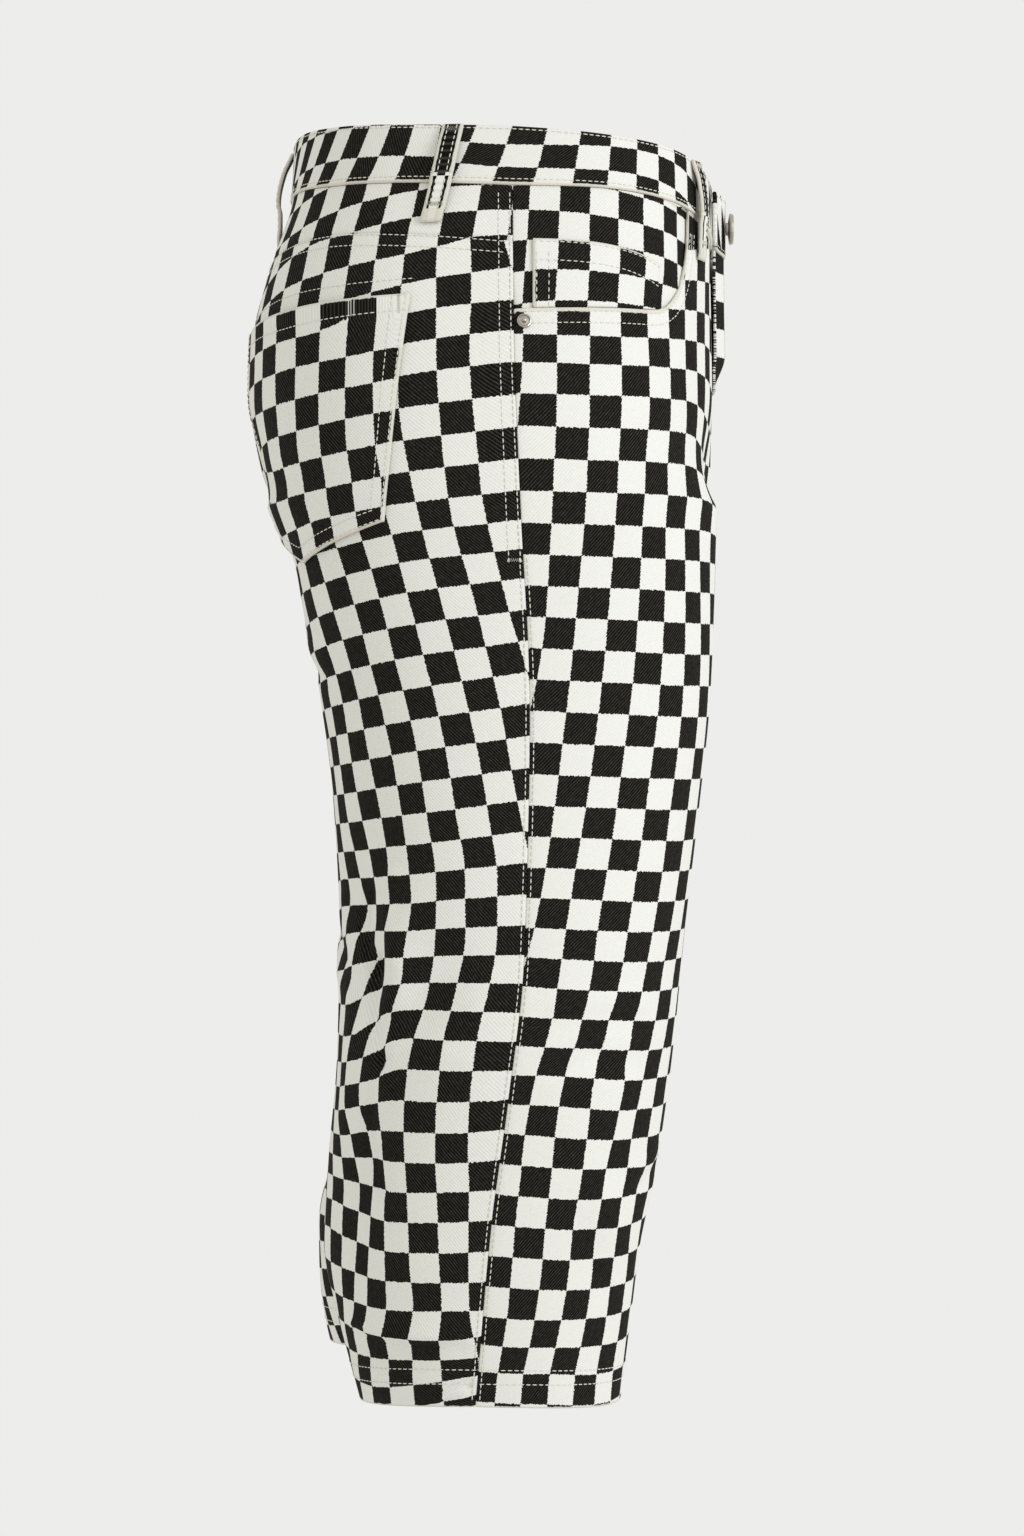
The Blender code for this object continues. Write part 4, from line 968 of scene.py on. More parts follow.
def pocket_out(across, height):
    gape = ease((height - POCKET_CORNERS[0]) / (POCKET_TOP[0] - POCKET_CORNERS[0])) ** 6
    part = np.clip((across - POCKET_TOP[2]) / (POCKET_TOP[3] - POCKET_TOP[2]), 0, 1)
    return POCKET_LIFT + POCKET_WALL + POCKET_GAPE * gape * np.sin(math.pi * part)


def back_pocket(side, name):
    steps = np.concatenate([POCKET_EDGE, POCKET_INNER, 1 - POCKET_EDGE[::-1]])
    part, share = np.meshgrid(steps, steps)
    across, heights = pocket_place(part, share)
    wide, high = POCKET_SIZE
    rim_gap = np.minimum(np.minimum(part, 1 - part) * wide, np.minimum(share, 1 - share) * high)
    out = pocket_out(across, heights) - ROUNDED * np.exp(-rim_gap / POCKET_ROUND)
    face, normals = laid(side, "back", across, heights, out)
    uv = piece_grain(side, "back_pocket", across, heights)
    # Pale mark round the turned rim: bare cotton and a painted highlight on the rounded edge
    return thin_cloth(name, face, normals, POCKET_WALL, uv, rubbed_and_highlit_edge(rim_gap))


for side, hand in HANDS:
    pieces["back_pocket_" + hand] = back_pocket(side, "back_pocket_patch_" + hand)
print("back pocket", round(1000 * (POCKET_TOP[0] - POCKET_CORNERS[0] + POCKET_TIP)), "mm tall at its point")

# %% [markdown]
# ## Waistband, fly and hems
# The waistband is one folded strip that runs from the lap at the front, round the back, to its other end under the
# lap. The fly's overlap stands proud of the right front. The hems are the legs' own cloth turned up inside.

# %% Waistband
BAND_PROUD = 0.0008  # how far the waistband stands out from the cloth below
BAND_LEVEL = -0.020  # height at which its lap is measured
BAND_STEPS = 60  # columns along each quarter of it
BAND_MIDDLE = 2 * BAND_STEPS  # the column at the centre back
FLY_LENGTH = 0.122
FLY_LAP = 0.018  # how far the lap runs past the centre front,
FLY_ROOT = 0.034  # how far short of it the lap starts to lift,
FLY_PROUD = 0.0082  # and how far it stands off there
FLY_LEVEL = -0.060
FLY_TAPER_FROM = 0.72  # the share of its length from which the fly's lap lies down again,
FLY_TAPER = 0.8  # by this share
FLY_TAIL = 0.028  # how much shorter it is at its root
LAP_REST = BAND_WALL + LIFT  # the lap's end rests on the band under it
LAP_COLUMNS = 22
RIDGE = 0.0005  # height of the rolled ridge along the waistband's lower edge,
RIDGE_AT, RIDGE_WIDTH = 0.965, 0.022  # as shares of its height


def lap_out(x):
    """How far the overlap stands off the right front at a place x across the centre front."""
    rise = FLY_PROUD * ease((FLY_ROOT - x) / FLY_ROOT)
    rest = FLY_PROUD + (LAP_REST - FLY_PROUD) * ease(-x / FLY_LAP)
    return np.where(np.asarray(x) > 0, rise, rest)


def lap_way(x, height):
    """Share of the front at which the cloth is x from the centre plane."""
    row = int(round((HEIGHTS[0] - height) / ROW_STEP))
    front = ALONG[row] > 0
    across = np.interp(abs(x), SECTION_X[row, front][::-1], ALONG[row, front][::-1])
    return float(way_at("front", across, HEIGHTS[row]))


def band_places():
    """(side, panel, way, lap) of each column, from under the lap on the right, round the back, to the lap."""
    steps = np.linspace(0, 1, BAND_STEPS + 1)
    found = [(-1, "front", way, 0.0) for way in steps[::-1]]
    found += [(-1, "back", way, 0.0) for way in steps[1:]]
    found += [(1, "back", way, 0.0) for way in steps[::-1][1:]]
    root = lap_way(FLY_ROOT, BAND_LEVEL)
    found += [(1, "front", way, 0.0) for way in steps[1:] if way < root]
    for x in np.linspace(FLY_ROOT, -FLY_LAP, LAP_COLUMNS):
        found.append((1 if x > 0 else -1, "front", lap_way(x, BAND_LEVEL), float(lap_out(x))))
    return found


BAND_JOIN = LOOP_WAYS["back"][0] + 0.02
BAND_SHARES = np.concatenate(
    [[0, 0.02, 0.05, 0.09], np.linspace(0.14, 0.82, 10), [0.87, 0.90, 0.925, 0.95, 0.975, 1]]
)


def columns_first(*grids):
    """Grids gathered column by column, turned to rows first."""
    return (np.array(grid).transpose(1, 0, 2) for grid in grids)


def band_grain(side, panel, way, across, heights):
    """The strip has a join under the back loops: one run of checks behind it, another in front."""
    if panel == "back" and way > BAND_JOIN:
        return piece_grain(side, "band_back", across, heights)
    return piece_grain(side, "band_front", across if panel == "front" else -across, heights)


def band_height(panel, way, share):
    """Height at a share of the waistband's own height, from its top edge down."""
    return edge(way, "band_top_" + panel) * (1 - share) + edge(way, "band_low_" + panel) * share


def band_piece(name):
    crown = ROUNDED * (1 - np.exp(-np.minimum(BAND_SHARES, 1 - BAND_SHARES) / 0.03))
    crown = crown + RIDGE * np.exp(-(((BAND_SHARES - RIDGE_AT) / RIDGE_WIDTH) ** 2))
    face, toward, uv = [], [], []
    for side, panel, way, lap in band_places():
        heights = band_height(panel, way, BAND_SHARES)
        across = across_at(panel, way, heights)
        points, normals = laid(side, panel, across, heights, BAND_PROUD - ROUNDED + crown + lap)
        face.append(points)
        toward.append(normals)
        uv.append(band_grain(side, panel, way, across, heights))
    face, toward, uv = columns_first(face, toward, uv)
    face[:, BAND_MIDDLE, 0] = 0.0
    # A pale line along the lower edge: mainly a painted highlight on its rounded fold, with some bare cotton
    fold = np.repeat(ease((BAND_SHARES - 0.94) / 0.03)[:, None], face.shape[1], 1)
    return thin_cloth(name, face, toward, BAND_WALL, uv, fold)


pieces["waistband"] = band_piece("waistband_strip")
print("waistband", len(band_places()), "columns")


# %% Fly overlap
FLY_CHECK = -0.0577  # height at which one of its checks starts
FLY_PITCH = 0.0151  # its checks look this tall, as the fly slopes
FLY_START = -0.002  # how far past the centre front one of its checks starts
FLY_COLUMNS, FLY_ROWS = 30, 40


def fly_piece(name):
    shares = np.linspace(0, 1, FLY_ROWS)
    face, toward, uv = [], [], []
    for x in np.linspace(FLY_ROOT, -FLY_LAP, FLY_COLUMNS):
        side = 1 if x > 0 else -1
        top = edge(lap_way(x, FLY_LEVEL), "band_low_front") - SEAM_GAP
        tail = FLY_TAIL * ease(max(x, 0) / FLY_ROOT) - FLY_LENGTH
        heights = top * (1 - shares) + tail * shares
        across = np.array([across_at("front", lap_way(x, h), h) for h in heights])
        flat = 1 - ease((shares - FLY_TAPER_FROM) / (1 - FLY_TAPER_FROM)) * FLY_TAPER
        out = np.maximum(lap_out(x) * flat, CLOTH + LIFT)
        points, normals = laid(side, "front", across, heights, out)
        face.append(points)
        toward.append(normals)
        uv.append(np.stack([np.full_like(heights, (FLY_START - x) / CHECK), (FLY_CHECK - heights) / FLY_PITCH], -1))
    face, toward, uv = columns_first(face, toward, uv)
    return thin_cloth(name, face, toward, CLOTH, uv)


pieces["fly_overlap"] = fly_piece("fly_lap")
print("fly lap", round(1000 * (FLY_ROOT + FLY_LAP)), "mm wide")


# %% Turned hems
HEM_STEPS = 72  # columns along each half of the ring
HEM_STEP = 0.0030  # about how far apart they stand
HEM_PIECE_ROWS = 8


def hem_piece(side, name):
    """A ring inside the leg: along the front from the outseam to the inseam, and back along the back."""
    shares = np.linspace(0, 1, HEM_PIECE_ROWS)
    face, toward = [], []
    for step in range(2 * HEM_STEPS):
        panel = "front" if step < HEM_STEPS else "back"
        way = step / HEM_STEPS if step < HEM_STEPS else 2 - step / HEM_STEPS
        heights = hem_height(way) + HEM_TURN * (1 - shares)
        points, normals = laid(side, panel, across_at(panel, way, heights), heights, -CLOTH - TUCK)
        face.append(points)
        toward.append(normals)
    face, toward = columns_first(face, toward)
    uv = np.stack(np.meshgrid(np.arange(2 * HEM_STEPS + 1) * HEM_STEP / CHECK, shares), -1)
    return thin_cloth(name, face, toward, CLOTH, uv, ring=True)


for side, hand in HANDS:
    pieces["hem_" + hand] = hem_piece(side, "turned_hem_" + hand)
print("turned hems", 2 * HEM_STEPS, "columns round")

# %% [markdown]
# ## Belt loops
# A belt loop is a narrow folded strip, tacked flat at the waistband's top edge and below its seam, and standing off
# between. It gets a path of small clearances along its length and lies across the form like the rest.

# %% Belt loops
LOOP_WIDTH = 0.0105
LOOP_WALL = 0.0018
LOOP_LENGTH = 0.051
LOOP_DROP = 0.0006  # how far its top is below the waistband's
CENTRE_LOOP_STAND = 0.0036  # how much further the loop at the centre back stands off
LOOP_DARK = 0.56  # share of a loop's length that one dark check takes
LOOP_ROWS = 40
LOOP_PARTS = np.array((-1, -0.92, -0.8, -0.62, -0.42, -0.34, 0.0, 0.34, 0.42, 0.62, 0.8, 0.92, 1))
# Down the loop: how far it stands off the cloth, and how many walls of its cloth lie there
LOOP_COLUMNS = ("share", "out", "walls")
LOOP_PATH = (
    (0.00, 0.0004, 1.0),
    (0.06, 0.0010, 1.0),
    (0.20, 0.0026, 1.0),
    (0.45, 0.0034, 1.0),
    (0.68, 0.0027, 1.0),
    (0.84, 0.0016, 1.1),
    (0.93, 0.0008, 1.5),
    (1.00, 0.0004, 1.2),
)


def loop_place(side, panel, ways, share, part):
    """Side, panel, distance from the outseam and height of a place on a loop, part -1 to 1 across it."""
    height = edge(ways[0], "band_top_" + panel) - LOOP_DROP - LOOP_LENGTH * share
    across = across_at(panel, ways[0] + (ways[1] - ways[0]) * share, height) + part * LOOP_WIDTH / 2
    reach = reach_of(panel, height)
    if across > reach:
        return -side, 2 * reach - across, height
    return side, across, height


def loop_top(share, stand):
    """How far a loop's outer face stands off the cloth at a share of its length."""
    out, walls = (read_column(LOOP_PATH, LOOP_COLUMNS, name, share) for name in ("out", "walls"))
    on_band = 1 - float(ease((share - 0.55) / 0.1))
    return out + stand * math.sin(math.pi * share) + BAND_PROUD * on_band + walls * LOOP_WALL


def loop_point(side, panel, ways, share, part, out):
    """A point that stands off a place on a loop, with the form's normal."""
    side, across, height = loop_place(side, panel, ways, share, part)
    point, normal = bare(side, panel, np.asarray(across), np.asarray(height))
    return point + normal * out, normal


def loop_piece(name, side, panel, ways, stand=0.0):
    shares = np.linspace(0, 1, LOOP_ROWS)
    grid = [
        [
            loop_point(side, panel, ways, share, part, loop_top(share, stand) - ROUNDED * ease((abs(part) - 0.8) / 0.2))
            for part in LOOP_PARTS
        ]
        for share in shares
    ]
    face, toward = (np.array([[place[k] for place in row] for row in grid]) for k in (0, 1))
    across, along = np.meshgrid(LOOP_PARTS, shares)
    beside = np.where((np.abs(across) > 0.38) & (along > LOOP_DARK * 0.94), 1.0, 0.0)
    uv = np.stack([0.5 + beside, 1.0 + along / LOOP_DARK], -1)
    # Pale marks on the loop's folded sides and its turned foot: bare cotton and a painted highlight
    fold = np.maximum(ease((np.abs(across) - 0.58) / 0.2), ease((along - 0.86) / 0.03))
    return thin_cloth(name, face, toward, LOOP_WALL * 0.9, uv, fold)


# Every loop: name, side, panel, ways of its top and foot, and how much further it stands off
LOOPS = [
    (f"{panel}_{hand}", side, panel, ways, 0.0) for side, hand in HANDS for panel, ways in LOOP_WAYS.items()
]
LOOPS.append(("centre_back", -1, "back", (1.0, 1.0), CENTRE_LOOP_STAND))
for name, *place in LOOPS:
    pieces["belt_loop_" + name] = loop_piece("loop_" + name, *place)
print(len(LOOPS), "belt loops")



# %% [markdown]
# ## Materials
# The jeans are cotton twill printed with a check, sewn with cotton-wrapped polyester thread and closed with nickel
# metal. An image could carry the print, but nodes keep it sharp at any size and in real millimetres.

# %% Colours and a node helper
def linear(hex_colour):
    """An sRGB hex colour such as #EFEFEA as linear RGBA."""
    parts = [int(hex_colour[k : k + 2], 16) / 255 for k in (1, 3, 5)]
    return tuple(c / 12.92 if c <= 0.04045 else ((c + 0.055) / 1.055) ** 2.4 for c in parts) + (1.0,)


def add_node(tree, kind, inputs=None, links=None, **settings):
    """Adds a node with its settings, fixed inputs and links from other nodes' sockets."""
    made = tree.nodes.new(kind)
    for key, value in settings.items():
        setattr(made, key, value)
    for key, value in (inputs or {}).items():
        made.inputs[key].default_value = value
    for key, socket in (links or {}).items():
        tree.links.new(socket, made.inputs[key])
    return made


def mixed(tree, share, first, second):
    """A colour between two, each a colour or a socket, by a socket's value."""
    fixed = {f"Color{k}": c for k, c in ((1, first), (2, second)) if isinstance(c, tuple)}
    linked = {f"Color{k}": c for k, c in ((1, first), (2, second)) if not isinstance(c, tuple)}
    return add_node(tree, "ShaderNodeMixRGB", fixed, {"Fac": share, **linked}).outputs["Color"]


def new_material(name):
    made = bpy.data.materials.new(name)
    made.use_nodes = True
    return made, made.node_tree, made.node_tree.nodes["Principled BSDF"]


# %% [markdown]
# ## Topstitching
# Rows of thread hold every seam down and are what makes jeans look like jeans. Each row is drawn as a line of points
# just above the cloth; a Geometry Nodes tree walks along it, sets one short stitch every few millimetres and turns it
# along the row. Placing thousands of stitches by hand would be slow, and one tree keeps the pitch the same.

# %% Rows of stitches as lines over the cloth
THREAD = 0.00030  # radius of the thread
STITCH_PITCH = 0.0033
STITCH_LENGTH = 0.0025
THREAD_LIFT = 0.00012  # the thread's middle stands this far off the cloth
rows_of_stitches = []


def stitch_row(side, panel, across, height, out=0.0):
    """Adds a row over a panel through places given as arrays."""
    across, height = np.broadcast_arrays(np.asarray(across, float), np.asarray(height, float))
    rows_of_stitches.append(laid(side, panel, across, height, out + THREAD_LIFT)[0])


# Heights and distances in metres
SEAT_TOP, SEAT_LOW = -0.036, -0.222  # the outseam's upper pair, which ends at the seat
LEG_LOW = -0.636
MOUTH_ROWS = (0.0016, 0.0076)  # below the pocket's mouth
YOKE_ROWS_BELOW = (0.0009, 0.0066)
HEM_ROWS = (0.0195, 0.0122)  # over the hem's edge
POCKET_ROWS = (0.011, 0.055)  # inside the patch's rim, as shares of its size
COIN_ROWS_BELOW = (0.0014, 0.0110)
COIN_ROWS_BESIDE = (0.0016, 0.0078)
FLY_TURN = (0.036, -0.040, 0.108)  # the fly's curve: how far out it starts, at what height, and how far it drops
BAND_ROWS = (0.055, 0.905)  # shares of the waistband's height
LOOP_ROWS_AT = (-0.42, 0.42)  # shares of a loop's half width
OUTSEAM_FROM = 0.0019


def side_rows(side):
    """Two rows down the back of the outseam to the seat, then a pair that straddles it down to the hem."""
    for beside in (0.0015, 0.0072):
        stitch_row(side, "back", beside, np.linspace(SEAT_TOP, SEAT_LOW, 60))
    for panel in ("back", "front"):
        stitch_row(side, panel, OUTSEAM_FROM, np.linspace(SEAT_LOW, LEG_LOW, 140))


def yoke_rows(side):
    ways = np.linspace(0.03, 0.99, 90)
    for below in YOKE_ROWS_BELOW:
        height = edge(ways, "yoke") - below
        stitch_row(side, "back", across_at("back", ways, height), height)


def mouth_rows(side):
    """Two rows that follow the pocket's mouth round its corner."""
    ways = front_ways()
    ways = ways[(ways > 0.03) & (ways <= MOUTH_WAY)]
    edge_line = np.stack([across_at("front", ways, scoop_height(ways)), scoop_height(ways)], -1)
    along = np.gradient(edge_line, axis=0)
    along /= np.linalg.norm(along, axis=1)[:, None]
    beside = np.stack([along[:, 1], -along[:, 0]], -1)
    for below in MOUTH_ROWS:
        line = edge_line + beside * below
        line = line[line[:, 1] < edge(MOUTH_WAY, "band_low_front") - 0.001]
        stitch_row(side, "front", line[:, 0], line[:, 1])


def pocket_rows(side):
    """Rows inside the patch's sides and foot, one across under its mouth, and one on the panel above it."""
    for inside in POCKET_ROWS:
        foot = 1 - inside * 1.15
        path = [(inside, s) for s in np.linspace(0.015, foot, 50)]
        path += [(p, foot) for p in np.linspace(inside, 1 - inside, 60)]
        path += [(1 - inside, s) for s in np.linspace(foot, 0.015, 50)]
        across, height = pocket_place(*np.array(path).T)
        stitch_row(side, "back", across, height, pocket_out(across, height))
    part = np.linspace(0.01, 0.99, 50)
    across, height = pocket_place(part, 0.075)
    stitch_row(side, "back", across, height, pocket_out(across, height))
    stitch_row(side, "back", *pocket_place(part, -0.075))


def hem_rows(side):
    ways = np.linspace(0.01, 0.99, 80)
    for panel in ("front", "back"):
        for up in HEM_ROWS:
            height = hem_height(ways) + up
            stitch_row(side, panel, across_at(panel, ways, height), height)


def inner_rows(side, panels, heights, besides):
    """Rows beside the panels' inner ends: the inseam, or the seam at the centre back."""
    for panel in panels:
        for beside in besides:
            stitch_row(side, panel, reach_of(panel, heights) - beside, heights)


def coin_rows():
    across = np.linspace(COIN_ACROSS[0] + 0.001, COIN_ACROSS[1] - 0.001, 40)
    for below in COIN_ROWS_BELOW:
        height = coin_mouth(across) - below
        stitch_row(-1, "front", across, height, coin_out(across, height))
    height = np.linspace(COIN_TOP - 0.008, SCOOP_LEVEL + 0.003, 20)
    for beside in COIN_ROWS_BESIDE:
        across = COIN_ACROSS[0] + beside
        stitch_row(-1, "front", across, height, coin_out(across, height))


def fly_rows():
    """The curved pair on the left front that holds the fly's facing."""
    drop = np.linspace(0, 1, 50)
    far, top, fall = FLY_TURN
    for beside in (0.0, 0.006):
        height = top - (fall - beside) * drop
        x = (far - beside) * np.sqrt(np.clip(1 - drop**5, 0, 1))
        across = reach_of("front", height) - x
        stitch_row(1, "front", across[x > 0.004], height[x > 0.004])


def band_rows():
    """Rows along both edges of the waistband, all the way round."""
    for share in BAND_ROWS:
        line = []
        for side, panel, way, lap in band_places():
            height = band_height(panel, way, share)
            across = across_at(panel, way, height)
            line.append(laid(side, panel, across, np.asarray(height), BAND_PROUD + lap + THREAD_LIFT)[0])
        line = np.array(line)
        line[BAND_MIDDLE, 0] = 0.0
        rows_of_stitches.append(line)


def loop_rows(side, panel, ways, stand):
    for part in LOOP_ROWS_AT:
        shares = np.linspace(0.03, 0.86, 24)
        line = [loop_point(side, panel, ways, s, part, loop_top(s, stand) + THREAD_LIFT)[0] for s in shares]
        rows_of_stitches.append(np.array(line))


for side, hand in HANDS:
    for sew in (side_rows, yoke_rows, mouth_rows, pocket_rows, hem_rows):
        sew(side)
    inner_rows(side, ("front", "back"), np.linspace(-0.245, LEG_LOW, 130), (OUTSEAM_FROM,))
inner_rows(-1, ("back",), np.linspace(-0.055, -0.235, 60), (0.0015, 0.0075))
coin_rows()
fly_rows()
band_rows()
for name, *place in LOOPS:
    loop_rows(*place)
thread_used = sum(float(np.linalg.norm(np.diff(row, axis=0), axis=1).sum()) for row in rows_of_stitches)
print(len(rows_of_stitches), "rows of stitches,", round(thread_used, 2), "m")


# %% A tree that sets stitches along lines
def line_object(name, lines):
    """One object whose edges join each line's points."""
    points, edges = [], []
    for line in lines:
        start = len(points)
        points += [tuple(point) for point in line]
        edges += [(start + k, start + k + 1) for k in range(len(line) - 1)]
    mesh = bpy.data.meshes.new(name)
    mesh.from_pydata(points, edges, [])
    made = bpy.data.objects.new(name, mesh)
    bpy.context.scene.collection.objects.link(made)
    return made


def new_tree(name, values):
    """A Geometry Nodes tree with a geometry socket in and out and named number and material inputs."""
    tree = bpy.data.node_groups.new(name, "GeometryNodeTree")
    tree.interface.new_socket("Geometry", in_out="INPUT", socket_type="NodeSocketGeometry")
    tree.interface.new_socket("Geometry", in_out="OUTPUT", socket_type="NodeSocketGeometry")
    for key, value in values.items():
        kind = "NodeSocketMaterial" if value is None else "NodeSocketFloat"
        socket = tree.interface.new_socket(key, in_out="INPUT", socket_type=kind)
        if value is not None:
            socket.default_value = value
    return tree, add_node(tree, "NodeGroupInput").outputs, add_node(tree, "NodeGroupOutput").inputs


def finished(tree, shape, given, result):
    """Ends a tree: real geometry, dressed in the thread's material."""
    real = add_node(tree, "GeometryNodeRealizeInstances", None, {"Geometry": shape}).outputs["Geometry"]
    dressed = add_node(tree, "GeometryNodeSetMaterial", None, {"Geometry": real, "Material": given["Thread"]})
    tree.links.new(dressed.outputs["Geometry"], result["Geometry"])
    return tree


def stitch_tree():
    sizes = {"Pitch": STITCH_PITCH, "Length": STITCH_LENGTH, "Radius": THREAD}
    tree, given, result = new_tree("stitches along lines", {**sizes, "Thread": None})
    curve = add_node(tree, "GeometryNodeMeshToCurve", None, {"Mesh": given["Geometry"]}).outputs["Curve"]
    walked = {"Curve": curve, "Length": given["Pitch"]}
    steps = add_node(tree, "GeometryNodeCurveToPoints", None, walked, mode="LENGTH")
    stitch = add_node(tree, "GeometryNodeMeshUVSphere", {"Segments": 6, "Rings": 5, "Radius": 1.0}).outputs["Mesh"]
    half = add_node(tree, "ShaderNodeMath", {1: 0.5}, {0: given["Length"]}, operation="MULTIPLY").outputs[0]
    radius = given["Radius"]
    size = add_node(tree, "ShaderNodeCombineXYZ", None, {"X": radius, "Y": radius, "Z": half}).outputs["Vector"]
    where = {"Points": steps.outputs["Points"], "Rotation": steps.outputs["Rotation"]}
    placed = add_node(tree, "GeometryNodeInstanceOnPoints", None, {**where, "Instance": stitch, "Scale": size})
    return finished(tree, placed.outputs["Instances"], given, result)


def grown(made, tree, inputs):
    """The mesh that a tree makes of an object, as a plain object of the same name."""
    modifier = made.modifiers.new("grow", "NODES")
    modifier.node_group = tree
    for socket in tree.interface.items_tree:
        if getattr(socket, "in_out", "") == "INPUT" and socket.name in inputs:
            modifier[socket.identifier] = inputs[socket.name]
    view = bpy.context.evaluated_depsgraph_get()
    mesh = bpy.data.meshes.new_from_object(made.evaluated_get(view))
    made.modifiers.clear()
    made.data = mesh
    mesh.shade_smooth()
    return made


# %% [markdown]
# ## Bar tacks
# Where a seam is pulled hardest, at a pocket's corner or a loop's end, the machine lays the thread back and forth in
# a close zigzag. It could be a small patch with a bump, but real thread catches the light, so each is a zigzag line
# that a second tree turns into a thin tube.

# %% Bar tacks
TACK_STEP = 0.0004  # between two turns of the zigzag


def tack_tree():
    """Thin tubes along lines, for thread laid back and forth."""
    tree, given, result = new_tree("tubes along lines", {"Radius": THREAD, "Thread": None})
    curve = add_node(tree, "GeometryNodeMeshToCurve", None, {"Mesh": given["Geometry"]}).outputs["Curve"]
    ring = add_node(tree, "GeometryNodeCurvePrimitiveCircle", {"Resolution": 5}, {"Radius": given["Radius"]})
    shape = {"Curve": curve, "Profile Curve": ring.outputs["Curve"]}
    tube = add_node(tree, "GeometryNodeCurveToMesh", {"Fill Caps": True}, shape)
    return finished(tree, tube.outputs["Mesh"], given, result)


def tack(side, panel, across, height, out, length, width=0.0016, upright=False):
    """A close zigzag over a place, length along the panel or, upright, down it."""
    turns = int(length / TACK_STEP)
    run = np.linspace(-length / 2, length / 2, turns)
    swing = np.where(np.arange(turns) % 2, width / 2, -width / 2)
    if upright:
        run, swing = swing, -run
    return laid(side, panel, across + run, height + swing, out + THREAD_LIFT)[0]


def tacks():
    lines = []
    for side, hand in HANDS:
        for part in (0.03, 0.97):
            across, height = pocket_place(part, 0.045)
            lines.append(tack(side, "back", across, height, float(pocket_out(across, height)), 0.0095, upright=True))
        lines.append(tack(side, "back", 0.0044, -0.222, 0.0, 0.0070))
        mouth = float(across_at("front", MOUTH_WAY, -0.047))
        lines.append(tack(side, "front", mouth + 0.003, -0.052, 0.0, 0.0080, upright=True))
        for panel, ways in LOOP_WAYS.items():
            for share in (0.83, 0.05):
                _, across, height = loop_place(side, panel, ways, share, 0.0)
                lines.append(tack(side, panel, across, height, loop_top(share, 0.0), LOOP_WIDTH * 0.78, width=0.0022))
    return lines


stitch_lines = line_object("topstitching", rows_of_stitches)
tack_lines = line_object("bar_tacks", tacks())

# %% Printed check twill
WHITE_CHECK = linear("#E3E2DA")
BLACK_CHECK = linear("#13110C")
# Pale colour of folded edges: bare cotton where the print is rubbed off, and a painted highlight on the rounded edge
RUBBED_FOLD_AND_HIGHLIGHT = linear("#D6D2C4")
FLECK = linear("#B9B4A8")  # pale yarn seen through the dark print
DIP = linear("#A9A698")  # the pale ground between two twill lines
RAGGED = 0.0016  # how far the print's edge wanders
YARN = 0.0013  # distance between twill lines, a little coarser than real so that it shows


def ranged(tree, socket, limits):
    """A socket's value, taken from one range to another: from low, from high, to low, to high."""
    inputs = dict(zip(("From Min", "From Max", "To Min", "To Max"), limits))
    return add_node(tree, "ShaderNodeMapRange", inputs, {"Value": socket}).outputs["Result"]


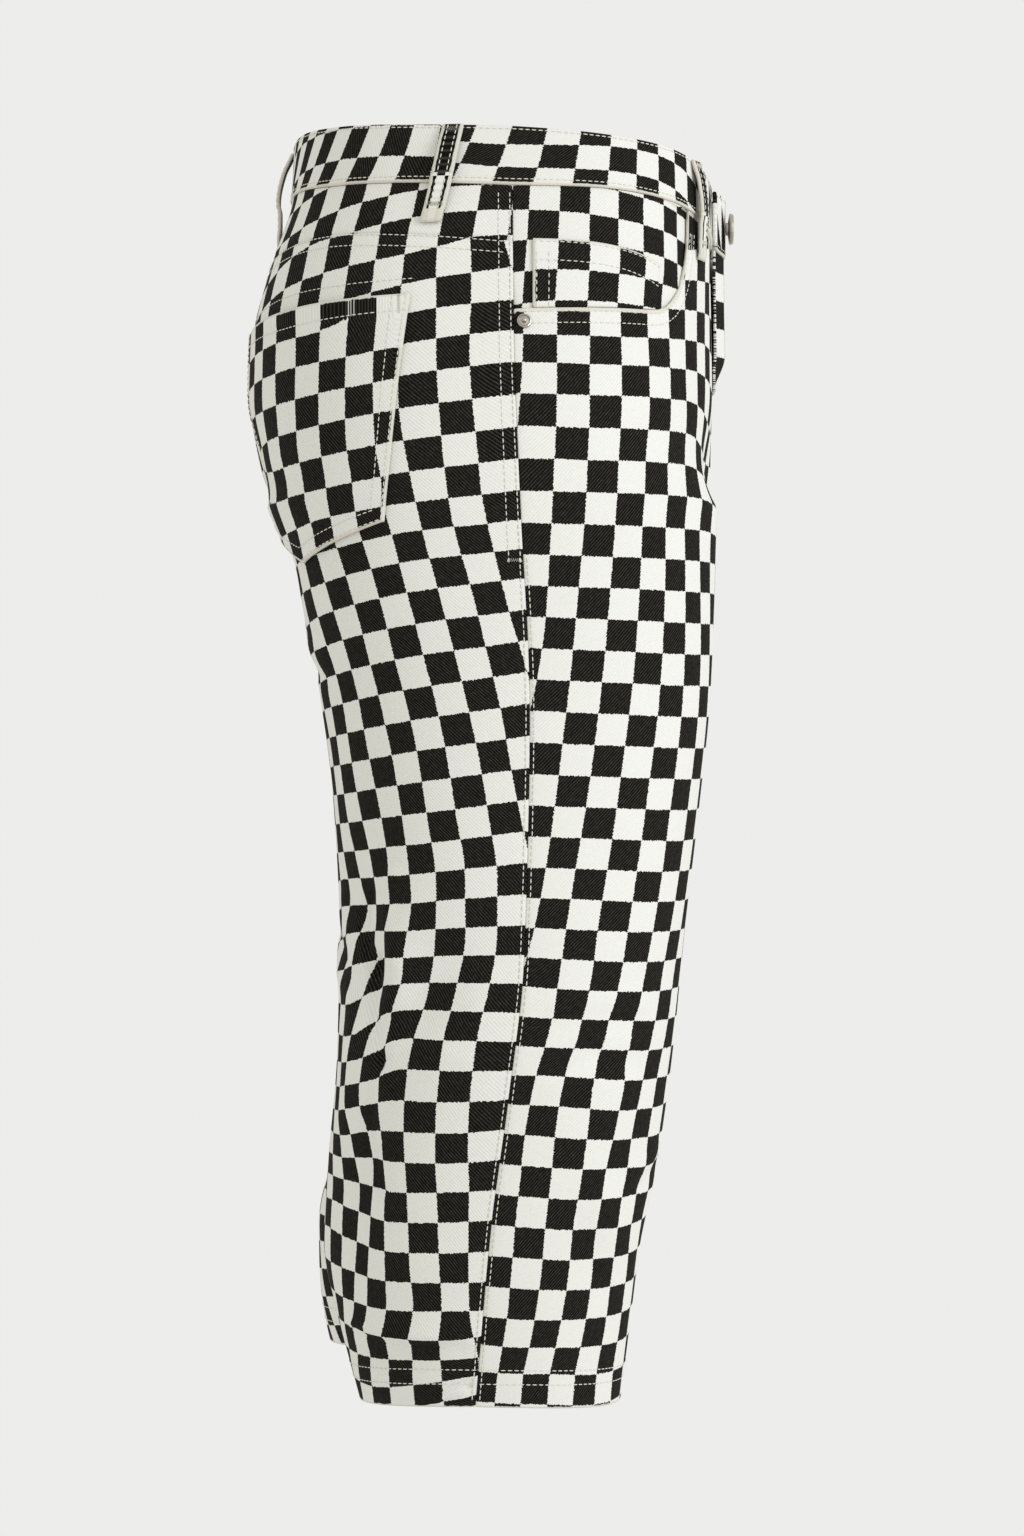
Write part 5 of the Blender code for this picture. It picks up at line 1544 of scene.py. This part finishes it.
def check_twill():
    """Cotton twill: matt squares with a slightly ragged print edge, a fine diagonal line and a pale colour on folds:
    bare cotton, partly a painted highlight.
    """
    made, tree, shader = new_material("printed cotton twill")
    flat = add_node(tree, "ShaderNodeUVMap", uv_map="cloth").outputs["UV"]
    # The print's edge wanders by a fine noise
    shift = add_node(tree, "ShaderNodeTexNoise", {"Scale": 1100.0, "Detail": 1.0}, {"Vector": flat}).outputs["Color"]
    for what, value in (("SUBTRACT", (0.5, 0.5, 0.5)), ("MULTIPLY", (RAGGED, RAGGED, 0.0))):
        shift = add_node(tree, "ShaderNodeVectorMath", {1: value}, {0: shift}, operation=what).outputs[0]
    place = add_node(tree, "ShaderNodeVectorMath", None, {0: flat, 1: shift}, operation="ADD").outputs[0]
    squares = {"Scale": 1 / CHECK, "Color1": (0, 0, 0, 1), "Color2": (1, 1, 1, 1)}
    check = add_node(tree, "ShaderNodeTexChecker", squares, {"Vector": place})
    # The weave: diagonal twill lines, and yarn that is thicker here and thinner there
    turned = add_node(tree, "ShaderNodeMapping", {"Rotation": (0, 0, math.radians(-38))}, {"Vector": flat})
    lines = {"Scale": 2 * math.pi / 20 / YARN, "Distortion": 1.6, "Detail": 2.0, "Detail Scale": 3.0}
    wale = add_node(tree, "ShaderNodeTexWave", lines, {"Vector": turned.outputs["Vector"]}).outputs["Fac"]
    slub = add_node(tree, "ShaderNodeTexNoise", {"Scale": 420.0, "Detail": 3.0}, {"Vector": flat}).outputs["Fac"]
    weave = add_node(tree, "ShaderNodeMix", {"Factor": 0.45}, {"A": wale, "B": slub}).outputs["Result"]
    # Pale yarn shows through the dark print in flecks; the white ground dims between the twill lines
    dark = mixed(tree, ranged(tree, weave, (0.52, 0.86, 0.0, 0.09)), BLACK_CHECK, FLECK)
    pale = mixed(tree, ranged(tree, weave, (0.18, 0.52, 0.22, 0.0)), WHITE_CHECK, DIP)
    printed = mixed(tree, check.outputs["Color"], dark, pale)
    # On a fold the print is rubbed off, sooner where the yarn is thick; the same pale colour is also a painted
    # highlight on the fold's rounded edge
    fold = add_node(tree, "ShaderNodeAttribute", attribute_name="fold").outputs["Fac"]
    worn = add_node(tree, "ShaderNodeMath", None, {0: fold, 1: slub}, operation="ADD").outputs[0]
    colour = mixed(tree, ranged(tree, worn, (0.92, 1.12, 0.0, 0.92)), printed, RUBBED_FOLD_AND_HIGHLIGHT)
    bump = add_node(tree, "ShaderNodeBump", {"Strength": 0.5, "Distance": 0.0003}, {"Height": weave})
    tree.links.new(colour, shader.inputs["Base Color"])
    tree.links.new(bump.outputs["Normal"], shader.inputs["Normal"])
    shader.inputs["Roughness"].default_value = 0.9
    shader.inputs["Specular IOR Level"].default_value = 0.05
    return made


CHECK_TWILL = check_twill()


# %% Plain materials
def plain_material(name, colour, roughness, metallic=0.0):
    made, tree, shader = new_material(name)
    shader.inputs["Base Color"].default_value = linear(colour)
    shader.inputs["Roughness"].default_value = roughness
    shader.inputs["Metallic"].default_value = metallic
    return made


# The dull greyish inner side of the cloth, which keeps the hollow calm
REVERSE = plain_material("unprinted twill reverse", "#C9C7BD", 0.92)
# Pale thread with a faint sheen, seen as dashes on the dark checks
THREAD_COTTON = plain_material("cotton-wrapped thread", "#DAD6C8", 0.7)
# Brushed nickel that mirrors the room softly, on the rivets and the button
METAL = plain_material("nickel plate", "#B4ADA4", 0.32, 1.0)
print("materials", [made.name for made in (CHECK_TWILL, REVERSE, THREAD_COTTON, METAL)])

# %% Grow the stitches and the bar tacks
TACK_THREAD = THREAD * 0.8  # pulled tighter than a stitch
stitch_sizes = {"Pitch": STITCH_PITCH, "Length": STITCH_LENGTH, "Radius": THREAD}
STITCHES = grown(stitch_lines, stitch_tree(), {**stitch_sizes, "Thread": THREAD_COTTON})
TACKS = grown(tack_lines, tack_tree(), {"Radius": TACK_THREAD, "Thread": THREAD_COTTON})
print(len(STITCHES.data.polygons), "faces of stitches,", len(TACKS.data.polygons), "of bar tacks")
for made in (STITCHES, TACKS):
    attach(made, "root")

# %% [markdown]
# ## The flat cuts
# Jeans are cut from flat cloth and sewn. Every piece is listed here with the width and length of its flat cut and,
# where that isn't a rectangle, its area. The turned hem goes all round the leg, so its width is the leg's round.

CUTS = {
    "front_": ((0.31, 0.62), 0.156, "hung", "waistband"),
    "back_pocket_": ((0.144, 0.134), 0.0170, "laid", "back_"),
    "back_": ((0.35, 0.61), 0.168, "hung", "yoke_"),
    "yoke_": ((0.210, 0.052), 0.0075, "hung", "waistband"),
    "pocket_facing_": ((0.136, 0.084), 0.0092, "hung", "waistband"),
    "coin_pocket": ((0.070, 0.035), None, "laid", "pocket_facing_right"),
    "waistband": ((0.78, 0.036), None, "folded", None),
    "fly_overlap": ((0.048, 0.080), None, "laid", "front_left"),
    "hem_": ((0.43, 0.018), None, "folded", "front_"),
    "belt_loop_": ((0.013, 0.051), None, "folded", "waistband"),
}
for node, made in pieces.items():
    start = next(name for name in CUTS if node.startswith(name))
    flat, area, held, carrier = CUTS[start]
    if carrier and carrier.endswith("_"):
        carrier = carrier + node.split("_")[-1]
print("sheets declared", len(pieces))

# %% [markdown]
# ## Dressing the frame
# Each piece now stands for its CAD node, which is hidden, gets its twill materials and rides on the one body.

# %% Replace the nodes
for node, made in pieces.items():
    made.data.materials[0] = CHECK_TWILL
    made.data.materials[1] = CHECK_TWILL if node in ("waistband",) or node.startswith("belt_loop") else REVERSE
    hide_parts(node)
    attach(made, "root")
for node in ("rivet_right", "rivet_left", "waist_button"):
    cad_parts[node].data.materials[0] = METAL

# %% [markdown]
# ## Studio
# A pale ground that glows evenly keeps the picture calm from every side. The key light is large and stands to the
# front right, so the seat and the back of the knee fall into soft shade.

# %% Ground, light and camera
PAPER = linear("#EDEDEB")
FLOOR_HEIGHT = -0.95


def studio():
    world = bpy.data.worlds.new("pale room")
    world.use_nodes = True
    background = world.node_tree.nodes["Background"]
    background.inputs["Color"].default_value = PAPER
    background.inputs["Strength"].default_value = 1.0
    bpy.context.scene.world = world
    data = bmesh.new()
    bmesh.ops.create_circle(data, cap_ends=True, segments=64, radius=9.0)
    mesh = bpy.data.meshes.new("studio_floor")
    data.to_mesh(mesh)
    data.free()
    mesh.transform(Matrix.Translation((0, 0, FLOOR_HEIGHT)))
    floor = bpy.data.objects.new("studio_floor", mesh)
    bpy.context.scene.collection.objects.link(floor)
    made, tree, shader = new_material("pale floor")
    shader.inputs["Base Color"].default_value = (0, 0, 0, 1)
    shader.inputs["Specular IOR Level"].default_value = 0.0
    shader.inputs["Emission Color"].default_value = PAPER
    shader.inputs["Emission Strength"].default_value = 1.0
    mesh.materials.append(made)


def area_light(name, place, aim, size, power, colour="#FFFFFF"):
    light = bpy.data.lights.new(name, "AREA")
    light.shape = "RECTANGLE"
    light.size, light.size_y = size
    light.energy = power
    light.color = linear(colour)[:3]
    made = bpy.data.objects.new(name, light)
    bpy.context.scene.collection.objects.link(made)
    made.location = place
    way = np.array(aim) - np.array(place)
    made.rotation_euler = Vector(way).to_track_quat("-Z", "Y").to_euler()
    return made


studio()
MIDDLE = (0.0, 0.0, -0.33)
KEY_PLACE = (-2.4, -2.9, 0.9)
KEY_SIZE = (1.8, 2.4)
KEY_POWER = 76  # watts
area_light("key", KEY_PLACE, MIDDLE, KEY_SIZE, KEY_POWER, "#EEF4FF")

CAMERA_PLACE = (-2.0, -0.005, -0.324)
lens = bpy.data.cameras.new("camera")
lens.lens = 86.6  # a long lens from two metres off, as the photo's hardly widening lines show
lens.sensor_width = 36
lens.clip_start = 0.05
camera = bpy.data.objects.new("camera", lens)
bpy.context.scene.collection.objects.link(camera)
camera.location = CAMERA_PLACE
camera.rotation_euler = (math.radians(90), 0, math.radians(-90))
bpy.context.scene.camera = camera
bpy.context.scene.view_settings.view_transform = "Standard"
